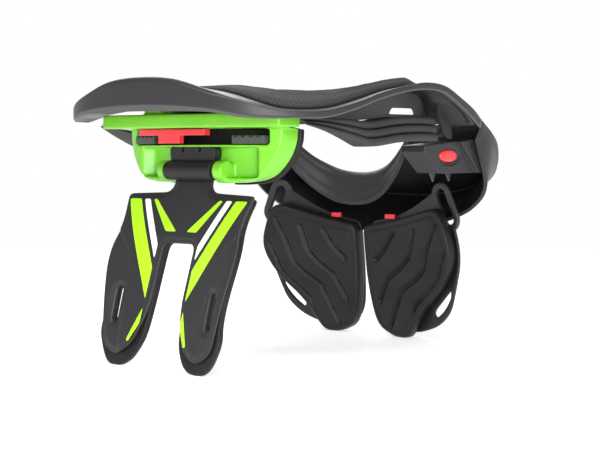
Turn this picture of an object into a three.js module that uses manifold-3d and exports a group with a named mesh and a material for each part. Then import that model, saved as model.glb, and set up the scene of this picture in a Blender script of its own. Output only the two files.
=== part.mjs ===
// Motocross neck brace, shown as it stands on a table: on the two feet of its back strut and the
// lower tips of its two chest pads. Millimetres. +X is the wearer's right, +Y is forward, +Z is up.
import * as THREE from 'three';
import { mergeVertices } from 'three/addons/utils/BufferGeometryUtils.js';
import { TessellateModifier } from 'three/addons/modifiers/TessellateModifier.js';
import Module from 'manifold-3d';

// Driving dimensions of the ring that goes round the neck
const BRACE_HEIGHT = 212;
const HALF_WIDTH = 138;
const REAR_REACH = 183;
const FRONT_REACH = 163;
const SHELL_WALL = 3;
const SEAM_CLEARANCE = 0.6;
const GAP = 0.3;

// Padding
const NECK_PAD_THICKNESS = 5.5;
const NECK_PAD_BULGE = 1.2;
const COLLAR_PAD_THICKNESS = 4.5;
const SHOULDER_LAYER = 5.2;
const SHOULDER_DEPTH = 26;
const SHOULDER_STEP = 2;

// Windows through the side walls
const WINDOW_LENGTH = 27;
const WINDOW_HEIGHT = 4.8;
const WINDOW_Y = -6;
const WINDOW_SHARE_OF_HEIGHT = 0.893;

// Thoracic carrier, the bright plate that holds the strut. Its posts stand under the rear table.
const TABLE_UNDERSIDE_SHARE = 0.91;
const CARRIER_POST_RISE = 6.42;
const CARRIER_TOP = BRACE_HEIGHT * TABLE_UNDERSIDE_SHARE - CARRIER_POST_RISE;
const CARRIER_HEIGHT = 51;
const CARRIER_BOTTOM = CARRIER_TOP - CARRIER_HEIGHT;
const CARRIER_HALF_WIDTH = 78;
const CARRIER_WING = 18;
const CARRIER_FLANGE_HEIGHT = 10.5;
const CARRIER_FLANGE_OVERHANG = 5;
const CARRIER_SETBACK = 55;
const CARRIER_REAR_Y = CARRIER_SETBACK - REAR_REACH;
const CARRIER_DEPTH = 19;
const CARRIER_POCKET_DEPTH = 10;
const CARRIER_POCKET_WALL = 30;
const CARRIER_BACKING_THICKNESS = 4.5;
const CARRIER_POST_X = 40;
const CARRIER_POST_WIDTH = 18;
const SLOT_END_WALL = 12;
const SLOT_HALF_WIDTH = CARRIER_HALF_WIDTH - SLOT_END_WALL;
const SLOT_HEIGHT = 11.5;
const SLOT_BELOW_FLANGE = 0.5;

// Size adjuster that lies in the carrier's slot
const ADJUSTER_BLOCK_LENGTH = 26;
const ADJUSTER_DEPTH = 12;
const ADJUSTER_LEVER_LENGTH = 76;
const ADJUSTER_LEVER_HEIGHT = 4.6;
const ADJUSTER_LOBE_LENGTH = 24;
const ADJUSTER_TRAVEL = 6;
const ADJUSTER_TOOTH = 3;

// Hinge of the back strut
const HINGE_IN = 0.9;
const HINGE_RISE = 9;
const HINGE_Y = CARRIER_REAR_Y + HINGE_IN;
const HINGE_Z = CARRIER_BOTTOM + HINGE_RISE;
const HINGE_PIN_RADIUS = 2.4;
const HINGE_RUNNING_GAP = 0.35;
const KNUCKLE_RADIUS = 6;
const BRACKET_WALL = 2.4;
const BRACKET_HALF_WIDTH = 23;
const BRACKET_CHEEK = 3.6;
const BRACKET_PLATE = 4;
const BRACKET_NOTCH = 2.6;
const BRACKET_NOTCH_X = 7.5;
const SLEEVE_MOUTH_REAR = -38;
const SLEEVE_MOUTH_FRONT = 87;

// Back strut
const STRUT_HALF_WIDTH = 65;
const STRUT_NECK_LENGTH = 14.5;
const STRUT_HEIGHT = HINGE_Z - STRUT_NECK_LENGTH;
const STRUT_TOP_Y = CARRIER_REAR_Y;
const STRUT_LEAN = 44;
const STRUT_WRAP = 9;
const STRUT_SHELL = 3.4;
const STRUT_LINER = 6;
const STRUT_NECK_HALF_WIDTH = 18.8;
const STRUT_NECK_THICKNESS = 4.4;
const STRUT_SLOT_LENGTH = 26;
const STRUT_SLOT_WIDTH = 5.4;
const STRUT_SLOT_X = 0.728;
const STRUT_SLOT_Z = 0.343;
const CURVED_FIT = 0.5;

// Chest pads and the plates that carry them
const CHEST_HALF_WIDTH = 104;
const CHEST_LAP = 25.9;
const CHEST_SETBACK = 72.5;
const CHEST_FLOOR_Y = FRONT_REACH - CHEST_SETBACK;
const CHEST_LEAN = 0.13;
const CHEST_WRAP = 14;
const CHEST_PAD = 11;
const CHEST_PLATE = 3.6;
const STRAP_LOOP_LENGTH = 40;
const STRAP_LOOP_WIDTH = 16;
const STRAP_LOOP_SLOT_WIDTH = 6.5;
const STRAP_LOOP_TILT = 0.4;
const STRAP_LOOP_X = 0.86;
const STRAP_LOOP_Z = 0.975;
const LOCK_TAB_WIDTH = 9.5;
const LOCK_TAB_HEIGHT = 4;
const LOCK_TAB_X = 28.8;
const LOCK_TAB_DROP = 12.8;

// Latch housings under the front ends of the side arms
const LATCH_INSET = 18.5;
const LATCH_OUTER_X = HALF_WIDTH - LATCH_INSET;
const LATCH_DEPTH = 22;
const LATCH_SETBACK = 87;
const LATCH_LENGTH = 72;
const LATCH_REAR_Y = FRONT_REACH - LATCH_SETBACK - LATCH_LENGTH;
const LATCH_HEIGHT = 25;
const LATCH_TOP_SHARE = 0.7854;
const LATCH_TOP = BRACE_HEIGHT * LATCH_TOP_SHARE;
const LATCH_RISE = 3.5;
const BUTTON_LENGTH = 24;
const BUTTON_HEIGHT = 9.6;
const BUTTON_PROUD = 1.2;
const BUTTON_BODY = 5;
const BUTTON_CLEARANCE = 0.35;
const BUTTON_TRAVEL = 2;
const BUTTON_FROM_REAR = 34;
const BUTTON_DROP = 11.5;
const BUTTON_Y = LATCH_REAR_Y + BUTTON_FROM_REAR;
const BUTTON_Z = LATCH_TOP - BUTTON_DROP;
const BUTTON_DISH = 1;
const TONGUE_THICKNESS = 3;
const TONGUE_LENGTH = 28;
const TONGUE_FROM_REAR = 14.5;
const TONGUE_REAR_Y = LATCH_REAR_Y + TONGUE_FROM_REAR;
const TONGUE_IN = 15.5;
const TONGUE_X = LATCH_OUTER_X - TONGUE_IN;
const TONGUE_TOP_SHARE = 0.874;
const TONGUE_ROOT = 5;
const TONGUE_TOE = 8;
const TONGUE_ARM = 10;

// Pivot on the wearer's left on which the front half swings open
const PIVOT_INSET = 9;
const PIVOT_SETBACK = 97;
const PIVOT_X = PIVOT_INSET - HALF_WIDTH;
const PIVOT_Y = FRONT_REACH - PIVOT_SETBACK;
const PIVOT_PIN_RADIUS = 2.1;
const PIVOT_EYE_RADIUS = 4.8;
const PIVOT_RUNNING_GAP = 0.35;
const PIVOT_LUG_HEIGHT = 6;

// A table's first line names its columns
function table(columns, rows) {
  const names = columns.split(' ');
  return rows.map(row => Object.fromEntries(names.map((name, i) => [name, row[i]])));
}

// Rear half of the ring, right side, from the middle of the back to the seam. x columns are shares
// of HALF_WIDTH, y columns of REAR_REACH (negative) or FRONT_REACH, z columns of BRACE_HEIGHT.
// rim is the share of the top that stays bare outside the neck pad, dome how far it crowns.
const REAR_STATIONS = table('outX outY low edge inX inY crest wall rim dome', [
  [0.000, -1.000, 0.883, 0.986, 0.000, -0.546, 0.918,  0.840, 0.60, 0.012],
  [0.232, -0.995, 0.881, 0.976, 0.196, -0.541, 0.918,  0.840, 0.55, 0.012],
  [0.457, -0.967, 0.877, 0.937, 0.362, -0.508, 0.922,  0.840, 0.40, 0.010],
  [0.609, -0.913, 0.859, 0.912, 0.464, -0.459, 0.930,  0.842, 0.24, 0.004],
  [0.725, -0.836, 0.855, 0.885, 0.551, -0.393, 0.937,  0.845, 0.16, 0.003],
  [0.812, -0.749, 0.856, 0.878, 0.609, -0.328, 0.945,  0.850, 0.16, 0.003],
  [0.877, -0.645, 0.859, 0.883, 0.652, -0.262, 0.953,  0.856, 0.22, 0.003],
  [0.935, -0.514, 0.889, 0.911, 0.688, -0.186, 0.962,  0.862, 0.38, 0.003],
  [0.964, -0.383, 0.925, 0.946, 0.710, -0.109, 0.968,  0.868, 0.46, 0.003],
  [0.993, -0.246, 0.951, 0.972, 0.722, -0.033, 0.971, 0.8705, 0.50, 0.003],
  [1.000, -0.109, 0.963, 0.987, 0.722,  0.049, 0.972, 0.8715, 0.52, 0.003],
  [1.000,  0.030, 0.954, 0.978, 0.710,  0.135, 0.965,  0.872, 0.60, 0.003],
  [0.989,  0.172, 0.913, 0.941, 0.681,  0.209, 0.930,  0.866, 0.60, 0.003],
  [0.975,  0.300, 0.868, 0.903, 0.638,  0.270, 0.897,  0.832, 0.60, 0.003],
  [0.951,  0.408, 0.832, 0.864, 0.594,  0.319, 0.860,  0.810, 0.60, 0.003],
]);

// Front half, right side, from the seam to the middle of the chest. bibIn and bib give the lower
// edge of the bib: how far it lies in from the outer edge, a share of HALF_WIDTH, and its height.
const FRONT_STATIONS = table('outX outY low edge inX inY crest bibIn bib', [
  [0.951, 0.421, 0.832, 0.864, 0.594, 0.332, 0.842, 0.030, 0.783],
  [0.928, 0.540, 0.790, 0.820, 0.522, 0.366, 0.811, 0.030, 0.620],
  [0.884, 0.650, 0.750, 0.778, 0.464, 0.393, 0.792, 0.138, 0.530],
  [0.804, 0.761, 0.690, 0.717, 0.418, 0.414, 0.773, 0.290, 0.478],
  [0.688, 0.865, 0.637, 0.665, 0.329, 0.444, 0.730, 0.440, 0.452],
  [0.478, 0.957, 0.585, 0.613, 0.240, 0.472, 0.695, 0.485, 0.436],
  [0.240, 0.994, 0.556, 0.585, 0.134, 0.487, 0.663, 0.490, 0.427],
  [0.000, 1.000, 0.550, 0.578, 0.000, 0.497, 0.646, 0.490, 0.425],
]);

// The chest pieces lap over the lower edge of the bib in the middle
const CHEST_HEIGHT = FRONT_STATIONS.at(-1).bib * BRACE_HEIGHT + CHEST_LAP;
const LOCK_TAB_Z = CHEST_HEIGHT - LOCK_TAB_DROP;

// Neck pad: bottom of its inner face at each rear station, a share of BRACE_HEIGHT. It stays above
// the side windows and thins out where the pad ends on the arms.
const NECK_PAD_BOTTOM = [0.85, 0.85, 0.85, 0.855, 0.86, 0.865, 0.87, 0.88, 0.9, 0.928, 0.932];

// U-shaped collar pad: how far its lower edge lies inside and below the front ring's inner edge
const COLLAR_IN = 0.058;
const COLLAR_DROP = 0.115;
const COLLAR_ROLL = 0.16;
const COLLAR_STATIONS = FRONT_STATIONS.slice(2);

// Shoulder pad layers along each side arm. y is a share of REAR_REACH or FRONT_REACH, inset how far
// the outer edge lies in from the ring's edge, a share of HALF_WIDTH, top the height of the stack.
const SHOULDER_STATIONS = table('x y top spread', [
  [0.735, -0.665, 0.852, 0.24],
  [0.790, -0.585, 0.858, 0.60],
  [0.840, -0.470, 0.853, 0.95],
  [0.868, -0.350, 0.849, 1.00],
  [0.885, -0.210, 0.862, 1.00],
  [0.890, -0.080, 0.868, 1.00],
  [0.888,  0.060, 0.867, 0.92],
  [0.880,  0.105, 0.864, 0.72],
]);

// Outlines of the strut and chest pieces, right half. x is a share of the piece's half width and z
// of its height, r the rounding of the corner in millimetres.
const STRUT_SHELL_OUTLINE = table('x z r', [
  [0.350, 0.990,  3],
  [0.985, 0.973,  4],
  [0.915, 0.800, 12],
  [1.000, 0.640, 16],
  [0.900, 0.300, 20],
  [0.850, 0.120,  9],
  [0.630, 0.055,  7],
  [0.390, 0.130,  9],
  [0.245, 0.330, 12],
  [0.243, 0.700,  6],
]);
const STRUT_LINER_OUTLINE = table('x z r', [
  [0.960, 0.955,  4],
  [0.905, 0.800, 12],
  [0.990, 0.635, 16],
  [0.905, 0.290, 14],
  [0.945, 0.180,  9],
  [0.840, 0.050,  9],
  [0.740, 0.000,  4],
  [0.540, 0.000,  4],
  [0.400, 0.040,  9],
  [0.270, 0.160,  9],
  [0.243, 0.345, 12],
  [0.236, 0.695,  6],
]);
const CHEST_PAD_OUTLINE = table('x z r', [
  [0.810, 0.972,  8],
  [0.890, 0.890, 12],
  [0.985, 0.640, 22],
  [0.860, 0.420, 20],
  [0.610, 0.230, 16],
  [0.480, 0.052, 12],
  [0.420, 0.000,  5],
  [0.290, 0.000,  5],
  [0.110, 0.075, 16],
  [0.040, 0.400, 20],
  [0.040, 0.820,  7],
  [0.380, 0.872, 20],
]);
const CHEST_PLATE_OUTLINE = table('x z r', [
  [0.820, 1.120,  9],
  [0.930, 0.900, 14],
  [1.000, 0.620, 20],
  [0.900, 0.350,  8],
  [0.840, 0.210, 12],
  [0.690, 0.095, 12],
  [0.450, 0.030, 10],
  [0.240, 0.050, 10],
  [0.085, 0.160, 16],
  [0.055, 0.450, 20],
  [0.055, 0.850,  6],
  [0.390, 0.905, 24],
]);
const GRIP_OPENING = table('x z r', [
  [0.870, 0.385, 3],
  [0.660, 0.205, 4],
  [0.680, 0.160, 3],
  [0.770, 0.215, 8],
  [0.860, 0.320, 4],
]);
const CARRIER_OUTLINE = table('x z r', [
  [0.980, 1.000,  3],
  [1.000, 0.500, 10],
  [0.985, 0.200, 12],
  [0.840, 0.030, 14],
  [0.600, 0.000,  8],
]);

const MAX_EDGE = 30;
const CORNER_STEPS = 2;
const ROUND_STEPS = 20;

// Finishes
function finish(color, roughness, metalness = 0) {
  return new THREE.MeshStandardMaterial({ color, roughness, metalness });
}
const charcoalPlastic = finish('#3b3a3c', 0.55);
const blackPlastic = finish('#1d1c1e', 0.45);
const limePlastic = finish('#86f23c', 0.4);
const redPlastic = finish('#e23b42', 0.4);
const greyPlastic = finish('#4c504c', 0.5);
const eva = finish('#2a292b', 0.8);
const meshFabric = finish('#3f4240', 0.95);
const steel = finish('#8a8c90', 0.3, 1);

const lengthY = share => share * (share < 0 ? REAR_REACH : FRONT_REACH);
const outerPoint = row => new THREE.Vector2(row.outX * HALF_WIDTH, lengthY(row.outY));
const innerPoint = row => new THREE.Vector2(row.inX * HALF_WIDTH, lengthY(row.inY));

// Solids: manifold joins and cuts closed meshes whose vertices are merged
const wasm = await Module();
wasm.setup();

function welded(geometry) {
  const bare = geometry.clone();
  bare.deleteAttribute('normal');
  bare.deleteAttribute('uv');
  return mergeVertices(bare, 1e-4);
}

function toSolid(geometry) {
  const clean = welded(geometry);
  const vertProperties = new Float32Array(clean.attributes.position.array);
  const triVerts = new Uint32Array(clean.index.array);
  return new wasm.Manifold(new wasm.Mesh({ numProp: 3, vertProperties, triVerts }));
}

function fromSolid(solid) {
  const mesh = solid.getMesh();
  const geometry = new THREE.BufferGeometry();
  geometry.setAttribute('position', new THREE.BufferAttribute(mesh.vertProperties, 3));
  geometry.setIndex(new THREE.BufferAttribute(mesh.triVerts, 1));
  return geometry;
}

function join(first, ...others) {
  return fromSolid(others.reduce((sum, next) => sum.add(toSolid(next)), toSolid(first)));
}

function cut(first, ...tools) {
  return fromSolid(tools.reduce((rest, tool) => rest.subtract(toSolid(tool)), toSolid(first)));
}

function signedVolume(geometry) {
  const position = geometry.attributes.position;
  const corner = [new THREE.Vector3(), new THREE.Vector3(), new THREE.Vector3()];
  let total = 0;
  for (let i = 0; i < geometry.index.count; i += 3) {
    corner.forEach((point, k) => point.fromBufferAttribute(position, geometry.index.getX(i + k)));
    total += corner[0].dot(corner[1].clone().cross(corner[2]));
  }
  return total / 6;
}

function facingOut(geometry) {
  if (signedVolume(geometry) > 0) return geometry;
  const index = geometry.index;
  for (let i = 0; i < index.count; i += 3) {
    const kept = index.getX(i);
    index.setX(i, index.getX(i + 1));
    index.setX(i + 1, kept);
  }
  return geometry;
}

// A loft joins sections that hold the same number of points. Each section is a closed outline in a
// flat plane, given as { flat, world } with matching 2D and 3D points, and both ends are capped.
// Each four-sided patch is split along its shorter diagonal, so both sides of the brace match.
function loft(sections) {
  const points = sections.flatMap(section => section.world);
  const count = sections[0].world.length;
  const last = sections.length - 1;
  const index = [];
  for (let row = 0; row < last; row += 1) {
    for (let j = 0; j < count; j += 1) {
      const next = (j + 1) % count;
      const a = row * count + j;
      const b = row * count + next;
      const c = a + count;
      const d = b + count;
      const straight = points[a].distanceTo(points[d]) <= points[b].distanceTo(points[c]);
      index.push(...(straight ? [a, b, d, a, d, c] : [a, b, c, b, d, c]));
    }
  }
  for (const row of [0, last]) {
    const flat = sections[row].flat;
    const faces = THREE.ShapeUtils.triangulateShape(flat, []);
    const faceArea = faces.reduce((sum, face) => sum + THREE.ShapeUtils.area(face.map(k => flat[k])), 0);
    const sameWay = THREE.ShapeUtils.area(flat) * faceArea > 0;
    for (const face of faces) {
      const corners = face.map(k => row * count + k);
      index.push(...(sameWay === (row === last) ? corners : corners.reverse()));
    }
  }
  const geometry = new THREE.BufferGeometry();
  geometry.setFromPoints(points);
  geometry.setIndex(index);
  return facingOut(geometry);
}

// Path in a vertical plane moved sideways by a distance, with mitred corners
function offsetPath(path, distances) {
  const normals = path.slice(1).map((point, i) => {
    const along = point.clone().sub(path[i]).normalize();
    return new THREE.Vector2(-along.y, along.x);
  });
  return path.map((point, i) => {
    const before = normals[Math.max(i - 1, 0)];
    const after = normals[Math.min(i, normals.length - 1)];
    const mitre = before.clone().add(after).normalize();
    const stretch = distances[i] / Math.max(mitre.dot(after), 0.5);
    return point.clone().addScaledVector(mitre, stretch);
  });
}

// Section of even or varying thickness between two offsets of one path
function ribbon(path, outside, inside) {
  const spread = value => (Array.isArray(value) ? value : path.map(() => value));
  return [...offsetPath(path, spread(outside)), ...offsetPath(path, spread(inside)).reverse()];
}

// Stands a flat section in the vertical plane that runs from a row's outer to its inner point
function standSection(row, flat) {
  const outer = outerPoint(row);
  const inward = innerPoint(row).sub(outer).normalize();
  const world = flat.map(p => new THREE.Vector3(outer.x + inward.x * p.x, outer.y + inward.y * p.x, p.y));
  return { flat, world };
}

const mirroredSection = section => ({
  flat: section.flat,
  world: section.world.map(p => new THREE.Vector3(-p.x, p.y, p.z)),
});

// Rows for the right half are mirrored, so that a loft runs from the left end to the right end
function bothSides(sections) {
  const left = sections.map(mirroredSection).reverse();
  const middleIsShared = sections[0].world.every(p => Math.abs(p.x) < 1e-6);
  return [...left, ...sections.slice(middleIsShared ? 1 : 0)];
}

const inwardWidth = row => outerPoint(row).distanceTo(innerPoint(row));

// Rear ring: outer band, top and neck-side wall, all of one thickness
function rearTopPath(row) {
  const width = inwardWidth(row);
  const edge = row.edge * BRACE_HEIGHT;
  const crest = row.crest * BRACE_HEIGHT;
  const crown = row.dome * BRACE_HEIGHT;
  const height = share => edge + (crest - edge) * share + crown * Math.sin(Math.PI * share);
  const point = share => new THREE.Vector2(width * share, height(share));
  return [point(0), point(row.rim * 0.3), point(row.rim), point((1 + row.rim) / 2), point(1)];
}

function rearSection(row) {
  const band = new THREE.Vector2(0, row.low * BRACE_HEIGHT);
  const wall = new THREE.Vector2(inwardWidth(row), row.wall * BRACE_HEIGHT);
  const path = [band, ...rearTopPath(row), wall];
  return standSection(row, ribbon(path, 0, -SHELL_WALL));
}

// Neck pad: lies on the inner part of the top, rolls over the crest and lines the neck-side wall
function neckPadSection(row, i) {
  const [, , rim, middle, crest] = rearTopPath(row);
  const bottom = new THREE.Vector2(inwardWidth(row), NECK_PAD_BOTTOM[i] * BRACE_HEIGHT);
  const path = [rim, middle, crest, bottom];
  const full = NECK_PAD_THICKNESS;
  const soft = [full * 0.35, full + NECK_PAD_BULGE, full, full * 0.8];
  return standSection(row, ribbon(path, GAP, soft));
}

// Front ring: bib, outer band and top that slopes to the collar. The last stretch of the top is
// where the collar pad rolls over it.
function frontTopPath(row) {
  const width = inwardWidth(row);
  const crest = row.crest * BRACE_HEIGHT;
  const edge = row.edge * BRACE_HEIGHT;
  return [
    new THREE.Vector2(width * (1 - COLLAR_ROLL), crest + (edge - crest) * COLLAR_ROLL),
    new THREE.Vector2(width, crest),
  ];
}

function frontSection(row, grow = 0) {
  const path = [
    new THREE.Vector2(row.bibIn * HALF_WIDTH, row.bib * BRACE_HEIGHT),
    new THREE.Vector2(0, row.low * BRACE_HEIGHT),
    new THREE.Vector2(0, row.edge * BRACE_HEIGHT),
    ...frontTopPath(row),
  ];
  return standSection(row, ribbon(path, grow, -SHELL_WALL - grow));
}

// Collar pad: a soft lip on the front ring's inner edge that hangs down towards the chest
function collarSection(row) {
  const width = inwardWidth(row);
  const crest = row.crest * BRACE_HEIGHT;
  const path = [
    ...frontTopPath(row),
    new THREE.Vector2(width + COLLAR_IN * HALF_WIDTH * 0.4, crest - COLLAR_DROP * BRACE_HEIGHT * 0.5),
    new THREE.Vector2(width + COLLAR_IN * HALF_WIDTH, crest - COLLAR_DROP * BRACE_HEIGHT),
  ];
  const full = COLLAR_PAD_THICKNESS;
  return standSection(row, ribbon(path, GAP, [full * 0.4, full, full, full * 0.7]));
}

// One shoulder pad layer: a flat strip whose sections run inward from its outer edge
function shoulderSection(row, layer) {
  const outer = new THREE.Vector2(row.x * HALF_WIDTH + layer * SHOULDER_STEP, lengthY(row.y));
  const inward = outer.clone().normalize().negate();
  const depth = (SHOULDER_DEPTH + layer * SHOULDER_STEP) * row.spread;
  const top = row.top * BRACE_HEIGHT - layer * (SHOULDER_LAYER + GAP);
  const bevel = SHOULDER_LAYER * 0.25;
  const flat = [
    [0, top - bevel], [bevel, top], [depth, top],
    [depth, top - SHOULDER_LAYER], [bevel, top - SHOULDER_LAYER], [0, top - SHOULDER_LAYER + bevel],
  ].map(([x, y]) => new THREE.Vector2(x, y));
  const world = flat.map(p => new THREE.Vector3(outer.x + inward.x * p.x, outer.y + inward.y * p.x, p.y));
  return { flat, world };
}

// Outline whose corners are rounded by quadratic curves
function roundedShape(corners) {
  const shape = new THREE.Shape();
  corners.forEach((corner, i) => {
    const here = new THREE.Vector2(corner.x, corner.y);
    const before = corners[(i + corners.length - 1) % corners.length];
    const after = corners[(i + 1) % corners.length];
    const towards = other => {
      const way = new THREE.Vector2(other.x, other.y).sub(here);
      const reach = Math.min(corner.r, way.length() * 0.45);
      return here.clone().addScaledVector(way.normalize(), reach);
    };
    const start = towards(before);
    const end = towards(after);
    if (i === 0) shape.moveTo(start.x, start.y);
    else shape.lineTo(start.x, start.y);
    shape.quadraticCurveTo(here.x, here.y, end.x, end.y);
  });
  return shape;
}

const scaled = (rows, width, height) => rows.map(row => ({ x: row.x * width, y: row.z * height, r: row.r }));
const mirroredCorners = corners => corners.map(c => ({ ...c, x: -c.x })).reverse();

// Plate: an outline in x and z with a thickness, cut into short edges and bent by a function that
// says how far back its rear face lies at each x and z
function plate(shape, thickness, bevel, bend, longestEdge = MAX_EDGE) {
  const flat = new THREE.ExtrudeGeometry(shape, {
    depth: thickness - 2 * bevel,
    bevelEnabled: bevel > 0,
    bevelThickness: bevel,
    bevelSize: bevel,
    bevelOffset: -bevel,
    bevelSegments: 1,
    curveSegments: CORNER_STEPS,
  });
  flat.translate(0, 0, bevel);
  const fine = welded(new TessellateModifier(longestEdge, 8).modify(flat));
  const position = fine.attributes.position;
  for (let i = 0; i < position.count; i += 1) {
    const x = position.getX(i);
    const z = position.getY(i);
    position.setXYZ(i, x, bend(x, z) + position.getZ(i), z);
  }
  return facingOut(fine);
}

const shiftedBend = (bend, distance) => (x, z) => bend(x, z) + distance;

function strutBend(x, z) {
  const fall = (STRUT_HEIGHT - z) / STRUT_HEIGHT;
  const wrap = STRUT_WRAP * Math.sin(Math.PI * Math.min(Math.max(fall, 0), 1)) * (x / STRUT_HALF_WIDTH) ** 2;
  return STRUT_TOP_Y - STRUT_LEAN * fall - wrap;
}

function chestBend(x, z) {
  return CHEST_FLOOR_Y - CHEST_LEAN * z - CHEST_WRAP * (x / CHEST_HALF_WIDTH) ** 2;
}

// Box between two corners, and cylinder along an axis
function block(low, high) {
  const size = high.map((value, i) => value - low[i]);
  const middle = high.map((value, i) => (value + low[i]) / 2);
  return new THREE.BoxGeometry(...size).translate(...middle);
}

function rodX(radius, fromX, toX, y, z, steps = ROUND_STEPS) {
  const rod = new THREE.CylinderGeometry(radius, radius, toX - fromX, steps);
  return rod.rotateZ(Math.PI / 2).translate((fromX + toX) / 2, y, z);
}

function rodZ(radius, fromZ, toZ, x, y, steps = ROUND_STEPS) {
  const rod = new THREE.CylinderGeometry(radius, radius, toZ - fromZ, steps);
  return rod.rotateX(Math.PI / 2).translate(x, y, (fromZ + toZ) / 2);
}

// Extrusion along X of corners given in y and z
function prismX(corners, fromX, toX) {
  const shape = new THREE.Shape(corners.map(([y, z]) => new THREE.Vector2(y, z)));
  const geometry = new THREE.ExtrudeGeometry(shape, { depth: toX - fromX, bevelEnabled: false });
  const upright = new THREE.Matrix4().makeBasis(
    new THREE.Vector3(0, 1, 0), new THREE.Vector3(0, 0, 1), new THREE.Vector3(1, 0, 0));
  return geometry.applyMatrix4(upright).translate(fromX, 0, 0);
}

const mirroredX = geometry => {
  const copy = welded(geometry).scale(-1, 1, 1);
  return facingOut(copy);
};

// Scene graph: one group for each part of the brace that moves by itself
const brace = new THREE.Group();
const rearGroup = new THREE.Group();
const frontGroup = new THREE.Group();
const strutGroup = new THREE.Group();
brace.add(rearGroup, frontGroup, strutGroup);

function addPiece(group, name, geometry, material) {
  const mesh = new THREE.Mesh(geometry, material);
  mesh.name = name;
  group.add(mesh);
  return mesh;
}

// Rear half of the ring, with a window through each side arm and the lug of the left pivot
const seamRow = REAR_STATIONS[REAR_STATIONS.length - 1];
const lugTop = seamRow.low * BRACE_HEIGHT - GAP;
const lugBottom = lugTop - PIVOT_LUG_HEIGHT;
const windowZ = WINDOW_SHARE_OF_HEIGHT * BRACE_HEIGHT;

function sideWindow() {
  const half = WINDOW_LENGTH / 2;
  const low = windowZ - WINDOW_HEIGHT / 2;
  const high = windowZ + WINDOW_HEIGHT / 2;
  const slant = WINDOW_HEIGHT * 0.7;
  const corners = [
    [WINDOW_Y - half, low], [WINDOW_Y + half, low],
    [WINDOW_Y + half - slant, high], [WINDOW_Y - half + slant, high],
  ];
  return prismX(corners, HALF_WIDTH * 0.6, HALF_WIDTH * 0.9);
}

const pivot = new THREE.Vector2(PIVOT_X, PIVOT_Y);
const wallFoot = new THREE.Vector2(-innerPoint(seamRow).x, innerPoint(seamRow).y);
const webWidth = PIVOT_EYE_RADIUS * 1.5;

// Flat bar between two points in plan
function bar(from, to, width, low, high) {
  const length = from.distanceTo(to);
  const geometry = new THREE.BoxGeometry(length, width, high - low);
  geometry.rotateZ(to.clone().sub(from).angle());
  return geometry.translate((from.x + to.x) / 2, (from.y + to.y) / 2, (low + high) / 2);
}

const lugWeb = bar(
  wallFoot.clone().add(new THREE.Vector2(-SHELL_WALL / 2, -webWidth)),
  pivot.clone().add(new THREE.Vector2(SHELL_WALL, -webWidth / 2)),
  webWidth, lugBottom, lugTop);
const lugEye = rodZ(PIVOT_EYE_RADIUS, lugBottom, lugTop, PIVOT_X, PIVOT_Y);
const pinTop = seamRow.edge * BRACE_HEIGHT + 1;
const pivotBore = rodZ(PIVOT_PIN_RADIUS + PIVOT_RUNNING_GAP, lugBottom - 9, pinTop + 9, PIVOT_X, PIVOT_Y);
const aboveLug = rodZ(PIVOT_EYE_RADIUS + SEAM_CLEARANCE, lugTop, lugTop + 20, PIVOT_X, PIVOT_Y);
const besideLug = rodZ(PIVOT_EYE_RADIUS + SEAM_CLEARANCE, lugBottom - GAP, lugTop + GAP, PIVOT_X, PIVOT_Y);

// Tongue of the side latch: a fin under each arm that stands behind the latch housing
const tongueTop = BRACE_HEIGHT * TONGUE_TOP_SHARE;
const tongueFoot = LATCH_TOP + GAP * 2;

function latchTongue() {
  const rootY = TONGUE_REAR_Y + TONGUE_LENGTH * 0.4;
  const fin = prismX([
    [TONGUE_REAR_Y, tongueTop + 2], [TONGUE_REAR_Y, tongueTop - TONGUE_ROOT],
    [TONGUE_REAR_Y + TONGUE_LENGTH * 0.6, tongueFoot], [TONGUE_REAR_Y + TONGUE_LENGTH, tongueFoot],
    [TONGUE_REAR_Y + TONGUE_LENGTH * 0.75, tongueFoot + TONGUE_TOE], [rootY, tongueTop + 2],
  ], TONGUE_X, TONGUE_X + TONGUE_THICKNESS);
  const arm = block([TONGUE_X - TONGUE_ARM, TONGUE_REAR_Y, tongueTop - TONGUE_ROOT + 1],
    [TONGUE_X + 1, rootY, tongueTop + 1]);
  return join(fin, arm);
}

const rearRing = loft(bothSides(REAR_STATIONS.map(rearSection)));
const rearChassis = join(cut(rearRing, aboveLug), lugEye, lugWeb, latchTongue(), mirroredX(latchTongue()));
addPiece(rearGroup, 'rear_chassis',
  cut(rearChassis, pivotBore, sideWindow(), mirroredX(sideWindow())), charcoalPlastic);

const neckRows = REAR_STATIONS.slice(0, NECK_PAD_BOTTOM.length);
addPiece(rearGroup, 'neck_pad', loft(bothSides(neckRows.map(neckPadSection))), meshFabric);

['upper', 'middle', 'lower'].forEach((layerName, layer) => {
  const right = loft(SHOULDER_STATIONS.map(row => shoulderSection(row, layer)));
  addPiece(rearGroup, `shoulder_pad_${layerName}_right`, right, eva);
  addPiece(rearGroup, `shoulder_pad_${layerName}_left`, mirroredX(right), eva);
});

// Thoracic carrier: a deep plate with a flange along its top, a slot for the size adjuster and a
// pocket for the hinge bracket
const carrierFront = CARRIER_REAR_Y + CARRIER_DEPTH;
const slotTop = CARRIER_TOP - CARRIER_FLANGE_HEIGHT - SLOT_BELOW_FLANGE;
const slotBottom = slotTop - SLOT_HEIGHT;
const swingRoomTop = HINGE_Z - KNUCKLE_RADIUS * 0.5;
const flatAt = y => () => y;
const UNCUT = HALF_WIDTH * 4;

function carrierShape(grow) {
  const right = scaled(CARRIER_OUTLINE, CARRIER_HALF_WIDTH + grow, CARRIER_HEIGHT + grow);
  const raised = right.map(c => ({ ...c, y: c.y + CARRIER_BOTTOM - grow }));
  return roundedShape([...raised, ...mirroredCorners(raised)]);
}

function slab(halfWidth, rearY, frontY, low, high) {
  return block([-halfWidth, rearY, low], [halfWidth, frontY, high]);
}

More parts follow.
